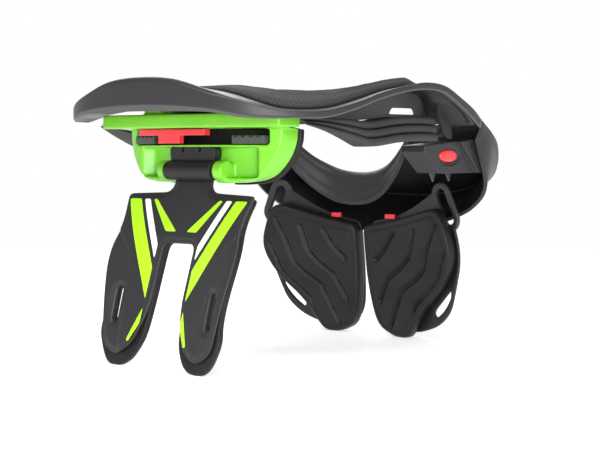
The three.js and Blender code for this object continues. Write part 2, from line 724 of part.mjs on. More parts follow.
const carrierBody = plate(carrierShape(0), CARRIER_DEPTH, 1.5, flatAt(CARRIER_REAR_Y), UNCUT);
const carrierFlange = slab(CARRIER_HALF_WIDTH + CARRIER_WING, CARRIER_REAR_Y - CARRIER_FLANGE_OVERHANG,
  carrierFront, CARRIER_TOP - CARRIER_FLANGE_HEIGHT, CARRIER_TOP);
const carrierPosts = [-1, 1].map(side => block(
  [side * CARRIER_POST_X - CARRIER_POST_WIDTH / 2, CARRIER_REAR_Y, CARRIER_TOP - 2],
  [side * CARRIER_POST_X + CARRIER_POST_WIDTH / 2, carrierFront - 6, CARRIER_TOP + CARRIER_POST_RISE]));
const slotRoom = slab(SLOT_HALF_WIDTH, CARRIER_REAR_Y - 10, carrierFront + 10, slotBottom, slotTop);
const pocketFloor = CARRIER_REAR_Y + CARRIER_POCKET_DEPTH;
const pocket = slab(CARRIER_HALF_WIDTH - CARRIER_POCKET_WALL, CARRIER_REAR_Y - 10, pocketFloor,
  CARRIER_BOTTOM - 5, slotBottom - 2);
const bracketRoom = slab(BRACKET_HALF_WIDTH + 2, CARRIER_REAR_Y - 10, pocketFloor,
  slotBottom - 4, slotBottom + 1);
const swingRoom = slab(BRACKET_HALF_WIDTH + 1.5, CARRIER_REAR_Y - 10, carrierFront + 20, CARRIER_BOTTOM - 9,
  swingRoomTop);
addPiece(rearGroup, 'thoracic_carrier',
  cut(join(carrierBody, carrierFlange, ...carrierPosts), slotRoom, pocket, bracketRoom, swingRoom),
  limePlastic);

const backing = plate(carrierShape(1.5), CARRIER_BACKING_THICKNESS, 1, flatAt(carrierFront + GAP), UNCUT);
const aboveBacking = slab(HALF_WIDTH, carrierFront, carrierFront + 20, CARRIER_TOP - 4, CARRIER_TOP + 9);
addPiece(rearGroup, 'carrier_backing', cut(backing, swingRoom, aboveBacking), eva);

// Size adjuster: two toothed blocks at the ends of the slot and a red lever that slides between them
const adjusterRear = CARRIER_REAR_Y - CARRIER_FLANGE_OVERHANG * 0.5;
const blockInnerX = SLOT_HALF_WIDTH - ADJUSTER_BLOCK_LENGTH;

function toothedBlock(side) {
  const outer = side * (SLOT_HALF_WIDTH - GAP);
  const inner = side * blockInnerX;
  const body = block(
    [Math.min(outer, inner), adjusterRear, slotBottom + GAP],
    [Math.max(outer, inner), adjusterRear + ADJUSTER_DEPTH, slotTop - ADJUSTER_LEVER_HEIGHT - GAP * 2]);
  const teeth = [];
  for (let x = blockInnerX + ADJUSTER_TOOTH; x < SLOT_HALF_WIDTH - ADJUSTER_TOOTH; x += ADJUSTER_TOOTH * 2) {
    const low = slotTop - ADJUSTER_LEVER_HEIGHT - GAP * 2 - 1.2;
    teeth.push(block([side * x - ADJUSTER_TOOTH / 2, adjusterRear - 1, low],
      [side * x + ADJUSTER_TOOTH / 2, adjusterRear + 3, low + 9]));
  }
  return cut(body, ...teeth);
}

addPiece(rearGroup, 'adjuster_block_right', toothedBlock(1), greyPlastic);
addPiece(rearGroup, 'adjuster_block_left', toothedBlock(-1), greyPlastic);

const leverGroup = new THREE.Group();
rearGroup.add(leverGroup);
const leverLeft = -SLOT_HALF_WIDTH + GAP + ADJUSTER_TRAVEL;
const leverBar = block([leverLeft, adjusterRear - 1, slotTop - GAP - ADJUSTER_LEVER_HEIGHT],
  [leverLeft + ADJUSTER_LEVER_LENGTH, adjusterRear + ADJUSTER_DEPTH * 0.5, slotTop - GAP]);
const lobeLeft = -blockInnerX + ADJUSTER_TRAVEL + 1;
const leverLobe = block([lobeLeft, adjusterRear - 1, slotBottom + GAP * 2],
  [lobeLeft + ADJUSTER_LOBE_LENGTH, adjusterRear + ADJUSTER_DEPTH * 0.4, slotTop - 2]);
addPiece(leverGroup, 'size_lever', join(leverBar, leverLobe), redPlastic);

// Hinge bracket: an open sleeve round the strut's knuckle, with a cheek at each end for the pin
const sleeveInner = KNUCKLE_RADIUS + HINGE_RUNNING_GAP;
const sleeveOuter = sleeveInner + BRACKET_WALL;
const cheekInner = BRACKET_HALF_WIDTH - BRACKET_CHEEK;
const boreRadius = HINGE_PIN_RADIUS + HINGE_RUNNING_GAP;

function sleeveMouth() {
  const reach = sleeveOuter * 3;
  const edge = degrees => {
    const angle = THREE.MathUtils.degToRad(degrees);
    return [HINGE_Y + reach * Math.sin(angle), HINGE_Z - reach * Math.cos(angle)];
  };
  const corners = [[HINGE_Y, HINGE_Z], edge(SLEEVE_MOUTH_REAR), edge(0), edge(SLEEVE_MOUTH_FRONT / 2),
    edge(SLEEVE_MOUTH_FRONT)];
  return prismX(corners, -cheekInner, cheekInner);
}

const sleeve = cut(
  rodX(sleeveOuter, -BRACKET_HALF_WIDTH, BRACKET_HALF_WIDTH, HINGE_Y, HINGE_Z),
  rodX(sleeveInner, -cheekInner, cheekInner, HINGE_Y, HINGE_Z), sleeveMouth());
const bracketFront = pocketFloor - GAP;
const bracketTop = slotBottom - GAP * 2;
const bracketPlate = slab(BRACKET_HALF_WIDTH - 3, bracketFront - BRACKET_PLATE, bracketFront,
  HINGE_Z + sleeveInner, bracketTop);
const bracketNotches = [-1, 1].map(side => block(
  [side * BRACKET_NOTCH_X - BRACKET_NOTCH / 2, bracketFront - BRACKET_PLATE - 1, bracketTop - 5],
  [side * BRACKET_NOTCH_X + BRACKET_NOTCH / 2, bracketFront + 1, bracketTop + 1]));
const hingeBore = rodX(boreRadius, -BRACKET_HALF_WIDTH - 9, BRACKET_HALF_WIDTH + 9, HINGE_Y, HINGE_Z, 12);
addPiece(rearGroup, 'hinge_bracket',
  cut(join(sleeve, bracketPlate), hingeBore, ...bracketNotches), blackPlastic);

const hingePin = rodX(HINGE_PIN_RADIUS, -BRACKET_HALF_WIDTH - 1.5, BRACKET_HALF_WIDTH + 1.5, 0, 0, 12);
addPiece(rearGroup, 'hinge_pin', hingePin, steel).position.set(0, HINGE_Y, HINGE_Z);

// Back strut: a forked shell on a foam liner, with a slot in each leg
function punch(shape, fromY, toY) {
  return plate(shape, toY - fromY, 0, flatAt(fromY), UNCUT);
}

function capsule(x, z, length, width, tilt = 0) {
  const radius = width / 2;
  const straight = (length - width) / 2;
  const centre = new THREE.Vector2(x, z);
  const steps = CORNER_STEPS * 2;
  const halfCircle = (start, middle) => Array.from({ length: steps + 1 }, (_, i) => {
    const angle = start + (Math.PI * i) / steps;
    return new THREE.Vector2(radius * Math.cos(angle), middle + radius * Math.sin(angle));
  });
  const upright = [...halfCircle(0, straight), ...halfCircle(Math.PI, -straight)];
  return new THREE.Shape(upright.map(p => p.rotateAround(new THREE.Vector2(), tilt).add(centre)));
}

function forkedShape(rows) {
  const right = scaled(rows, STRUT_HALF_WIDTH, STRUT_HEIGHT);
  return roundedShape([...right, ...mirroredCorners(right)]);
}

const strutRearY = STRUT_TOP_Y - STRUT_LEAN - STRUT_WRAP;
const legSlots = [-1, 1].map(side => {
  const x = side * STRUT_SLOT_X * STRUT_HALF_WIDTH;
  const outline = capsule(x, STRUT_SLOT_Z * STRUT_HEIGHT, STRUT_SLOT_LENGTH, STRUT_SLOT_WIDTH);
  return punch(outline, strutRearY - 9, STRUT_TOP_Y + 9);
});
const strutPlate = plate(forkedShape(STRUT_SHELL_OUTLINE), STRUT_SHELL, 0.8, strutBend);
const neckRear = strutBend(0, STRUT_HEIGHT * 0.96) - 0.4;
const strutNeck = prismX([
  [neckRear, STRUT_HEIGHT * 0.96], [neckRear + STRUT_NECK_THICKNESS, STRUT_HEIGHT * 0.96],
  [HINGE_Y + STRUT_NECK_THICKNESS / 2, HINGE_Z - 1], [HINGE_Y - STRUT_NECK_THICKNESS / 2, HINGE_Z - 1],
], -STRUT_NECK_HALF_WIDTH, STRUT_NECK_HALF_WIDTH);
const knuckle = rodX(KNUCKLE_RADIUS, -STRUT_NECK_HALF_WIDTH, STRUT_NECK_HALF_WIDTH, HINGE_Y, HINGE_Z);
addPiece(strutGroup, 'strut_shell',
  cut(join(strutPlate, strutNeck, knuckle), hingeBore, ...legSlots), charcoalPlastic);
const liner = plate(forkedShape(STRUT_LINER_OUTLINE), STRUT_LINER, 1.2,
  shiftedBend(strutBend, STRUT_SHELL + CURVED_FIT));
addPiece(strutGroup, 'strut_liner', cut(liner, ...legSlots), eva);

// Front half of the ring with its bib and the two latch housings
const latchFront = LATCH_REAR_Y + LATCH_LENGTH;
const latchBottom = LATCH_TOP - LATCH_HEIGHT;

function latchHousing() {
  const inner = LATCH_OUTER_X - LATCH_DEPTH;
  const face = prismX([
    [LATCH_REAR_Y, LATCH_TOP - LATCH_RISE], [LATCH_REAR_Y, LATCH_TOP - LATCH_RISE - 5],
    [LATCH_REAR_Y + LATCH_LENGTH * 0.3, latchBottom], [latchFront, latchBottom],
    [latchFront, LATCH_TOP - 1], [LATCH_REAR_Y + LATCH_LENGTH * 0.6, LATCH_TOP],
  ], inner, LATCH_OUTER_X);
  const shoulder = prismX([
    [LATCH_REAR_Y + LATCH_LENGTH * 0.62, LATCH_TOP - 0.5], [latchFront, latchBottom],
    [latchFront + 9, latchBottom], [latchFront + 4, LATCH_TOP - 5], [latchFront - 6, LATCH_TOP + 2],
  ], inner + 4, LATCH_OUTER_X + 3);
  return join(face, shoulder);
}

function ellipseX(length, height, fromX, toX, y, z) {
  const shape = new THREE.Shape();
  shape.absellipse(0, 0, length / 2, height / 2, 0, Math.PI * 2);
  const depth = toX - fromX;
  const geometry = new THREE.ExtrudeGeometry(shape, { depth, bevelEnabled: false, curveSegments: 10 });
  const upright = new THREE.Matrix4().makeBasis(
    new THREE.Vector3(0, 1, 0), new THREE.Vector3(0, 0, 1), new THREE.Vector3(1, 0, 0));
  return geometry.applyMatrix4(upright).translate(fromX, y, z);
}

const buttonFloor = LATCH_OUTER_X - BUTTON_DISH - BUTTON_BODY - BUTTON_TRAVEL - 1;
const buttonDish = ellipseX(BUTTON_LENGTH + 9, BUTTON_HEIGHT + 6, LATCH_OUTER_X - BUTTON_DISH,
  LATCH_OUTER_X + 9, BUTTON_Y, BUTTON_Z);
const buttonWell = ellipseX(BUTTON_LENGTH + BUTTON_CLEARANCE * 2, BUTTON_HEIGHT + BUTTON_CLEARANCE * 2,
  buttonFloor, LATCH_OUTER_X + 9, BUTTON_Y, BUTTON_Z);
const frontRows = [...FRONT_STATIONS].reverse();
const frontRing = loft(bothSides(frontRows.map(row => frontSection(row))));
const frontRingRoom = loft(bothSides(frontRows.map(row => frontSection(row, GAP))));
const housing = cut(latchHousing(), frontRingRoom, buttonDish, buttonWell);
const knuckleTop = FRONT_STATIONS[0].edge * BRACE_HEIGHT;
const pivotKnuckle = rodZ(PIVOT_EYE_RADIUS, lugTop + GAP, knuckleTop, PIVOT_X, PIVOT_Y);
addPiece(frontGroup, 'front_chassis',
  cut(join(cut(frontRing, besideLug), pivotKnuckle), pivotBore), charcoalPlastic);
addPiece(frontGroup, 'latch_housing_right', housing, charcoalPlastic);
addPiece(frontGroup, 'latch_housing_left', mirroredX(housing), charcoalPlastic);

const pivotPin = rodZ(PIVOT_PIN_RADIUS, lugBottom + 0.5, pinTop, 0, 0, 12);
addPiece(rearGroup, 'pivot_pin', pivotPin, steel).position.set(PIVOT_X, PIVOT_Y, 0);

const buttonFace = LATCH_OUTER_X - BUTTON_DISH + BUTTON_PROUD;
const buttonBack = buttonFace - BUTTON_BODY;
const button = ellipseX(BUTTON_LENGTH, BUTTON_HEIGHT, buttonBack, buttonFace, BUTTON_Y, BUTTON_Z);
addPiece(frontGroup, 'release_button_right', button, redPlastic);
addPiece(frontGroup, 'release_button_left', mirroredX(button), redPlastic);

const collarRows = [...COLLAR_STATIONS].reverse();
addPiece(frontGroup, 'collar_pad', loft(bothSides(collarRows.map(collarSection))), eva);

// Chest pads on hard plates, each with a strap loop at its top corner and a grip opening lower down
const plateBend = shiftedBend(chestBend, CHEST_PAD + CURVED_FIT);
const chestShape = rows => roundedShape(scaled(rows, CHEST_HALF_WIDTH, CHEST_HEIGHT));
const loopX = STRAP_LOOP_X * CHEST_HALF_WIDTH;
const loopZ = STRAP_LOOP_Z * CHEST_HEIGHT;
const loopSlotLength = STRAP_LOOP_LENGTH - STRAP_LOOP_WIDTH + STRAP_LOOP_SLOT_WIDTH;
const loopOutline = capsule(loopX, loopZ, STRAP_LOOP_LENGTH, STRAP_LOOP_WIDTH, STRAP_LOOP_TILT);
const loopHole = capsule(loopX, loopZ, loopSlotLength, STRAP_LOOP_SLOT_WIDTH, STRAP_LOOP_TILT);
const strapLoop = plate(loopOutline, CHEST_PLATE, 0.8, plateBend);
const strapSlot = punch(loopHole, 0, FRONT_REACH);
const gripOpening = punch(chestShape(GRIP_OPENING), 0, FRONT_REACH);
const chestPlateBody = plate(chestShape(CHEST_PLATE_OUTLINE), CHEST_PLATE, 0.8, plateBend);
const chestPlate = cut(join(chestPlateBody, strapLoop), strapSlot, gripOpening);
const chestPad = plate(chestShape(CHEST_PAD_OUTLINE), CHEST_PAD, 2.5, chestBend);
const tabFront = plateBend(LOCK_TAB_X, LOCK_TAB_Z) - CURVED_FIT;
const lockTab = block([LOCK_TAB_X - LOCK_TAB_WIDTH / 2, tabFront - 3, LOCK_TAB_Z - LOCK_TAB_HEIGHT / 2],
  [LOCK_TAB_X + LOCK_TAB_WIDTH / 2, tabFront, LOCK_TAB_Z + LOCK_TAB_HEIGHT / 2]);
for (const [side, shaped] of [['right', geometry => geometry], ['left', mirroredX]]) {
  addPiece(frontGroup, `chest_plate_${side}`, shaped(chestPlate), blackPlastic);
  addPiece(frontGroup, `chest_pad_${side}`, shaped(chestPad), eva);
  addPiece(frontGroup, `lock_tab_${side}`, shaped(lockTab), redPlastic);
}

// The origin is on the floor below the middle of the whole brace
const reach = new THREE.Box3().setFromObject(brace);
brace.position.set(-(reach.min.x + reach.max.x) / 2, -(reach.min.y + reach.max.y) / 2, -reach.min.z);
brace.updateMatrixWorld(true);

export default brace;
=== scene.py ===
# %% [markdown]
# # A motocross neck brace
#
# The brace stands on a pale table: on the two feet of its back strut and on the lower tips of its
# two chest pads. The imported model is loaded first. It gives the moving bodies, the size of every
# piece and where the joints are, and nothing below changes it.

# %% Load the frame
import math
import bmesh
import bpy
import numpy as np
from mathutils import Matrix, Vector
from mathutils.geometry import delaunay_2d_cdt


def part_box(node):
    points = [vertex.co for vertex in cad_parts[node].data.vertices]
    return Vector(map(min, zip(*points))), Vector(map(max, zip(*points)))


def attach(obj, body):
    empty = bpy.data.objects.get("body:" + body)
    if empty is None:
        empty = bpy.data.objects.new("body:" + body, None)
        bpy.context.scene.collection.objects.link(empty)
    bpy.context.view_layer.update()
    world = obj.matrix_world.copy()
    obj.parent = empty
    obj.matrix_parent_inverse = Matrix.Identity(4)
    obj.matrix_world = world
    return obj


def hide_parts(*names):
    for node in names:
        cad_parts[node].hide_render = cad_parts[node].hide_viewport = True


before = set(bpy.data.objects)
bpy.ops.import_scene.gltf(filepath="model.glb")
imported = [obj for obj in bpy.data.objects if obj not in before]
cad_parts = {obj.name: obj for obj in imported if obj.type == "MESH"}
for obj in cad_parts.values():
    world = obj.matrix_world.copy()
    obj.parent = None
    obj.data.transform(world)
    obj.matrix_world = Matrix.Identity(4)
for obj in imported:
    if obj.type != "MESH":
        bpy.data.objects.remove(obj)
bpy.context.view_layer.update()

# %% [markdown]
# ## The drawing frame
#
# A designer would draw this brace from its neck: the ring's middle is x = 0, y = 0 on the floor,
# +X is the wearer's right and +Y is forward, in millimetres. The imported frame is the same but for
# its origin, which lies below the middle of the whole box, and for metres. So every shape below is
# worked out in millimetres and moved once, when its mesh is made.

# %% Sizes read from the frame
MM = 0.001
ring_low, ring_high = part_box("rear_chassis")
HALF_WIDTH = ring_high[0] / MM
BRACE_HEIGHT = 212.0
REAR_REACH = 183.0
FRONT_REACH = 163.0
MIDDLE_Y = REAR_REACH + ring_low[1] / MM
SHELL_WALL = 3.0
print("half width", round(HALF_WIDTH, 1), "middle", round(MIDDLE_Y, 2))


def metres(points):
    """Points of the drawing frame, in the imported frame."""
    moved = np.asarray(points, float) + (0.0, MIDDLE_Y, 0.0)
    return moved * MM


def length_y(share):
    """A share of the ring's reach: negative shares run to the back."""
    return share * np.where(share < 0, REAR_REACH, FRONT_REACH)


# %% [markdown]
# ## Colours and materials
#
# The brace is almost all moulded: glass-filled nylon for the frame, a glossier ABS for the bright
# carrier, acetal for the buttons, EVA foam with a pressed skin for the pads, and a knitted spacer
# mesh where the helmet and neck touch. Colours are written as sRGB hex, as a colour picker shows
# them, and one function turns them to the linear values that the shader works with.

# %% Colour and node helpers
def linear(hex_colour, alpha=1.0):
    """sRGB hex, such as #3a393b, as linear red, green, blue and alpha."""
    channels = [int(hex_colour[i:i + 2], 16) / 255 for i in (1, 3, 5)]
    return (*(c / 12.92 if c <= 0.04045 else ((c + 0.055) / 1.055) ** 2.4 for c in channels), alpha)


def add(tree, kind, links=None, values=None, **settings):
    """Adds a node with its settings, the values of its sockets, and the links into them."""
    node = tree.nodes.new(kind)
    for name, value in settings.items():
        setattr(node, name, value)
    for socket, value in (values or {}).items():
        node.inputs[socket].default_value = value
    for socket, (source, output) in (links or {}).items():
        tree.links.new(source.outputs[output], node.inputs[socket])
    return node


def new_material(name):
    """An empty material with its output node and its object coordinates, in metres."""
    material = bpy.data.materials.new(name)
    material.use_nodes = True
    tree = material.node_tree
    tree.nodes.clear()
    output = add(tree, "ShaderNodeOutputMaterial")
    coordinates = add(tree, "ShaderNodeTexCoord")
    return material, tree, output, coordinates


# %% [markdown]
# A moulded plastic is never one flat colour. The mould is etched, so the surface is a field of fine
# bumps; the melt flows, so the shade drifts a little over a few centimetres; and convex corners are
# painted paler, a painted edge highlight. The function below gives all three, each at its real size,
# and the plastics of the brace differ only in its arguments. The etched grain is about 0.25 mm, drawn
# at 0.5 mm so that it shows.

# %% Moulded plastic
def noise(tree, here, size_mm, detail=2.0, **more):
    """Noise whose features are about that many millimetres across."""
    return add(tree, "ShaderNodeTexNoise", {"Vector": here},
               {"Scale": 1 / (size_mm * MM), "Detail": detail, **more})


def blend(tree, factor, first, second):
    """A mix of two colours. Each is four values, or a node and the number of its output."""
    linked = {socket: c for socket, c in ((6, first), (7, second)) if len(c) == 2}
    fixed = {socket: c for socket, c in ((6, first), (7, second)) if len(c) == 4}
    return add(tree, "ShaderNodeMix", {"Factor": factor, **linked}, fixed, data_type="RGBA")


def remap(tree, source, low, high):
    """Values from 0 to 1, moved to the range from low to high."""
    return add(tree, "ShaderNodeMapRange", {"Value": source}, {"To Min": low, "To Max": high})


def bumps(tree, source, strength, depth_mm):
    """Bumps of that depth in millimetres."""
    return add(tree, "ShaderNodeBump", {"Height": source},
               {"Strength": strength, "Distance": depth_mm * MM})


def surface(tree, output, links, values):
    shader = add(tree, "ShaderNodeBsdfPrincipled", links, values)
    tree.links.new(shader.outputs["BSDF"], output.inputs["Surface"])


def tinted(hex_colour, share):
    """A colour made darker or lighter by a share."""
    return [min(c * share, 1.0) for c in linear(hex_colour)[:3]] + [1.0]


# How much of the painted edge highlight colour shows on the sharpest convex corners.
EDGE_HIGHLIGHT_SHARE = 0.35
CORNER_FROM = 0.52
CORNER_TO = 0.62


def moulded_plastic(name, colour, edge_highlight, roughness, grain_mm=0.5, grain_depth=0.04, coat=0.0):
    material, tree, output, coordinates = new_material(name)
    here = (coordinates, "Object")
    drift = noise(tree, here, 45, 3.0)
    grain = noise(tree, here, grain_mm, 2.0, Roughness=0.6)
    # Pointiness finds the convex edges, and below they are painted paler: a painted edge highlight.
    geometry = add(tree, "ShaderNodeNewGeometry")
    corner = add(tree, "ShaderNodeValToRGB", {"Fac": (geometry, "Pointiness")})
    corner.color_ramp.elements[0].position = CORNER_FROM
    corner.color_ramp.elements[1].position = CORNER_TO
    shade = blend(tree, (drift, "Fac"), tinted(colour, 0.88), tinted(colour, 1.12))
    painted_highlight = add(tree, "ShaderNodeMath", {0: (corner, "Color")}, {1: EDGE_HIGHLIGHT_SHARE}, operation="MULTIPLY")
    mixed = blend(tree, (painted_highlight, "Value"), (shade, 2), linear(edge_highlight))
    gloss = remap(tree, (grain, "Fac"), roughness - 0.06, roughness + 0.08)
    bump = bumps(tree, (grain, "Fac"), 0.5, grain_depth)
    surface(tree, output,
            {"Base Color": (mixed, 2), "Roughness": (gloss, "Result"), "Normal": (bump, "Normal")},
            {"IOR": 1.42, "Coat Weight": coat, "Coat Roughness": 0.25})
    return material


# The second colour of each plastic is its painted edge highlight on convex corners.
nylon_frame = moulded_plastic("glass_filled_nylon_charcoal", "#262527", "#6a686c", 0.42)
nylon_black = moulded_plastic("glass_filled_nylon_black", "#171618", "#4a484c", 0.36)
nylon_grey = moulded_plastic("glass_filled_nylon_grey", "#3f4440", "#7d827e", 0.45)
abs_lime = moulded_plastic("moulded_abs_lime", "#74c62c", "#a4ea5c", 0.30, 0.8, 0.015, 0.25)
acetal_red = moulded_plastic("moulded_acetal_red", "#e2343c", "#ff6a66", 0.36, 0.8, 0.015, 0.2)
print("plastics made")

# %% [markdown]
# EVA foam for the body pads is pressed in a hot mould, which leaves a closed skin that looks like
# fine leather: shallow wrinkles about 1 mm apart that meet in small cells. Voronoi cells give the
# wrinkles, and a slow noise makes some spots shinier, where hands and kit have rubbed.

# %% Pressed EVA foam
def pressed_foam(name, colour, pale, roughness, cell_mm=1.1, depth=0.10):
    material, tree, output, coordinates = new_material(name)
    here = (coordinates, "Object")
    cells = add(tree, "ShaderNodeTexVoronoi", {"Vector": here}, {"Scale": 1 / (cell_mm * MM)},
                feature="DISTANCE_TO_EDGE")
    crease = add(tree, "ShaderNodeMapRange", {"Value": (cells, "Distance")}, {"From Max": 0.16})
    pores = noise(tree, here, 0.6, 3.0)
    rub = noise(tree, here, 30, 4.0)
    shade = blend(tree, (rub, "Fac"), linear(colour), linear(pale))
    gloss = remap(tree, (rub, "Fac"), roughness + 0.12, roughness - 0.10)
    skin = add(tree, "ShaderNodeMath", {0: (crease, "Result"), 1: (pores, "Fac")}, operation="ADD")
    bump = bumps(tree, (skin, "Value"), 0.6, depth)
    surface(tree, output,
            {"Base Color": (shade, 2), "Roughness": (gloss, "Result"), "Normal": (bump, "Normal")},
            {"IOR": 1.3})
    return material


eva_black = pressed_foam("pressed_eva_black", "#141214", "#232022", 0.40)
eva_grey = pressed_foam("pressed_eva_warm_grey", "#2a2929", "#3c3a3a", 0.55, 0.9, 0.07)
eva_smooth = pressed_foam("pressed_eva_smooth", "#232224", "#353436", 0.42, 0.8, 0.04)
print("foams made")

# %% [markdown]
# The padding that the helmet rests on is covered with spacer mesh, a thick knit with rows of small
# holes. The knit's pitch is about 1.5 mm, drawn at 3.2 mm so that it shows. The pad carries a size
# map in metres, so that the holes can be laid in even rows along it: two sine waves are multiplied,
# and a hole lies where the product is high.

# %% Knitted spacer mesh
def spacer_mesh(name, colour, hole, pitch_mm=3.2):
    material, tree, output, coordinates = new_material(name)
    turns = 2 * math.pi / (pitch_mm * MM)
    split = add(tree, "ShaderNodeSeparateXYZ", {"Vector": (coordinates, "UV")})
    waves = []
    for axis in ("X", "Y"):
        phase = add(tree, "ShaderNodeMath", {0: (split, axis)}, {1: turns}, operation="MULTIPLY")
        waves.append(add(tree, "ShaderNodeMath", {0: (phase, "Value")}, operation="SINE"))
    both = add(tree, "ShaderNodeMath", {0: (waves[0], "Value"), 1: (waves[1], "Value")},
               operation="MULTIPLY")
    holes = add(tree, "ShaderNodeMapRange", {"Value": (both, "Value")},
                {"From Min": 0.25, "From Max": 0.75})
    fuzz = noise(tree, (coordinates, "Object"), 0.5, 3.0)
    shade = blend(tree, (holes, "Result"), linear(colour), linear(hole))
    height = add(tree, "ShaderNodeMath", {0: (fuzz, "Fac"), 1: (holes, "Result")},
                 operation="SUBTRACT")
    bump = bumps(tree, (height, "Value"), 0.8, 0.25)
    surface(tree, output, {"Base Color": (shade, 2), "Normal": (bump, "Normal")},
            {"Roughness": 0.8, "Sheen Weight": 0.04, "Sheen Roughness": 0.5, "IOR": 1.3})
    return material


mesh_knit = spacer_mesh("knitted_spacer_mesh", "#39393a", "#0c0c0d")
print("mesh made")

# %% [markdown]
# Decals on such a strut are printed vinyl under a clear coat, and pins are turned steel. Turning
# leaves fine rings round the pin, so its noise is stretched across the pin's axis.

# %% Vinyl and steel
def printed_vinyl(name, colour):
    material, tree, output, coordinates = new_material(name)
    print_grain = noise(tree, (coordinates, "Object"), 6, 4.0)
    shade = blend(tree, (print_grain, "Fac"), tinted(colour, 0.92), linear(colour))
    bump = bumps(tree, (print_grain, "Fac"), 0.2, 0.05)
    surface(tree, output, {"Base Color": (shade, 2), "Normal": (bump, "Normal")},
            {"Roughness": 0.3, "IOR": 1.5, "Coat Weight": 0.3, "Coat Roughness": 0.1})
    return material


def turned_steel(name, colour):
    material, tree, output, coordinates = new_material(name)
    stretched = add(tree, "ShaderNodeMapping", {"Vector": (coordinates, "Object")},
                    {"Scale": (20.0, 1.0, 1.0)})
    rings = noise(tree, (stretched, "Vector"), 4)
    gloss = remap(tree, (rings, "Fac"), 0.22, 0.42)
    bump = bumps(tree, (rings, "Fac"), 0.3, 0.02)
    surface(tree, output, {"Roughness": (gloss, "Result"), "Normal": (bump, "Normal")},
            {"Base Color": linear(colour), "Metallic": 1.0})
    return material


vinyl_lime = printed_vinyl("printed_vinyl_lime", "#a6ea1a")
vinyl_white = printed_vinyl("printed_vinyl_white", "#f4f4f2")
steel = turned_steel("turned_steel", "#8f9194")
print("vinyl and steel made")

# %% [markdown]
# ## Helpers for shapes
#
# Three ways of making a shape cover the whole brace. A **loft** joins cross-sections, and suits the
# ring, its pads and the collar. A **panel** fills an outline with a fine net of triangles, gives it
# a thickness with rounded edges and bends it, and suits the strut and the chest pads. A **moulding**
# is cut and joined from plain bodies, turned into small even cells and smoothed, which rounds every
# corner as a mould does.

# %% Making and dressing a mesh
def make_mesh(name, points, faces, sizes=None):
    """A mesh object from drawing-frame points. sizes is the size map, in metres, per point."""
    mesh = bpy.data.meshes.new(name)
    mesh.from_pydata([tuple(p) for p in metres(points)], [], faces)
    if sizes is not None:
        layer = mesh.uv_layers.new(name="size")
        corners = np.empty(len(mesh.loops), dtype=np.int64)
        mesh.loops.foreach_get("vertex_index", corners)
        layer.data.foreach_set("uv", (np.asarray(sizes)[corners] * MM).ravel())
    mesh.validate()
    piece = bpy.data.objects.new(name, mesh)
    bpy.context.scene.collection.objects.link(piece)
    return piece


def recalculate(piece):
    """Turns all faces outwards."""
    net = bmesh.new()
    net.from_mesh(piece.data)
    bmesh.ops.recalc_face_normals(net, faces=net.faces)
    net.to_mesh(piece.data)
    net.free()


def apply_modifiers(piece):
    """Keeps the shape that the modifiers give, and removes them."""
    graph = bpy.context.evaluated_depsgraph_get()
    shaped = bpy.data.meshes.new_from_object(piece.evaluated_get(graph))
    piece.modifiers.clear()
    piece.data = shaped


def dress(piece, material, slot, body, *nodes, crease=38):
    """Finish, smooth shading up to a crease angle, body and the nodes that the piece stands for. The
    slot argument is not used.
    """
    if not piece.data.materials:
        piece.data.materials.append(material)
    piece.data.shade_smooth()
    piece.data.set_sharp_from_angle(angle=math.radians(crease))
    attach(piece, body)
    if nodes:
        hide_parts(*nodes)
    print(piece.name, len(piece.data.polygons), "faces")
    return piece


def bevel(piece, width, segments=2, angle=35):
    """Rounds the edges that are sharper than an angle."""
    edge = piece.modifiers.new("edge", "BEVEL")
    edge.width = width * MM
    edge.segments = segments
    edge.limit_method = "ANGLE"
    edge.angle_limit = math.radians(angle)
    return piece


def cut_out(piece, *tools):
    """Cuts closed bodies out of a piece and deletes them."""
    for tool in tools:
        saw = piece.modifiers.new("cut", "BOOLEAN")
        saw.operation = "DIFFERENCE"
        saw.solver = "EXACT"
        saw.object = tool
        apply_modifiers(piece)
        bpy.data.objects.remove(tool)
    return piece


# %% [markdown]
# A table holds the numbers of a shape, one row for each cross-section. Its first line names the
# columns. The rows give the right half of the brace, and the left half mirrors it, so a helper
# doubles them and fits a smooth curve through all of them.

# %% Tables and curves
def table(columns, rows):
    return {name: np.array([row[i] for row in rows], float) for i, name in enumerate(columns.split())}


def curve_through(values, steps):
    """A smooth curve through the rows of an array (Catmull-Rom), steps points to a stretch."""
    padded = np.concatenate([2 * values[:1] - values[1:2], values, 2 * values[-1:] - values[-2:-1]])
    out = []
    for i in range(len(values) - 1):
        before, here, after, beyond = padded[i:i + 4]
        for t in np.arange(steps) / steps:
            out.append(0.5 * (2 * here + (after - before) * t
                              + (2 * before - 5 * here + 4 * after - beyond) * t ** 2
                              + (3 * here - before - 3 * after + beyond) * t ** 3))
    return np.array(out + [values[-1]])


def whole_ring(columns, steps, middle_first=True, mirrored=("outX", "inX")):
    """Rows of both sides, from the left end to the right, joined by smooth curves."""
    smooth = {}
    for name, right in columns.items():
        ordered = right if middle_first else right[::-1]
        sign = -1.0 if name in mirrored else 1.0
        smooth[name] = curve_through(np.concatenate([(sign * ordered)[:0:-1], ordered]), steps)
    return smooth


def round_path(corners, radii, steps=4):
    """A path whose corners are rounded. A radius of 0 keeps the corner."""
    corners = np.asarray(corners, float)
    out = [corners[0]]
    for i in range(1, len(corners) - 1):
        here = corners[i]
        if radii[i] == 0:
            out.append(here)
            continue
        ends = []
        for other in (corners[i - 1], corners[i + 1]):
            way = other - here
            size = np.linalg.norm(way)
            ends.append(here + way / size * min(radii[i], size * 0.45))
        for t in np.linspace(0, 1, steps):
            out.append((1 - t) ** 2 * ends[0] + 2 * t * (1 - t) * here + t ** 2 * ends[1])
    out.append(corners[-1])
    return np.array(out)


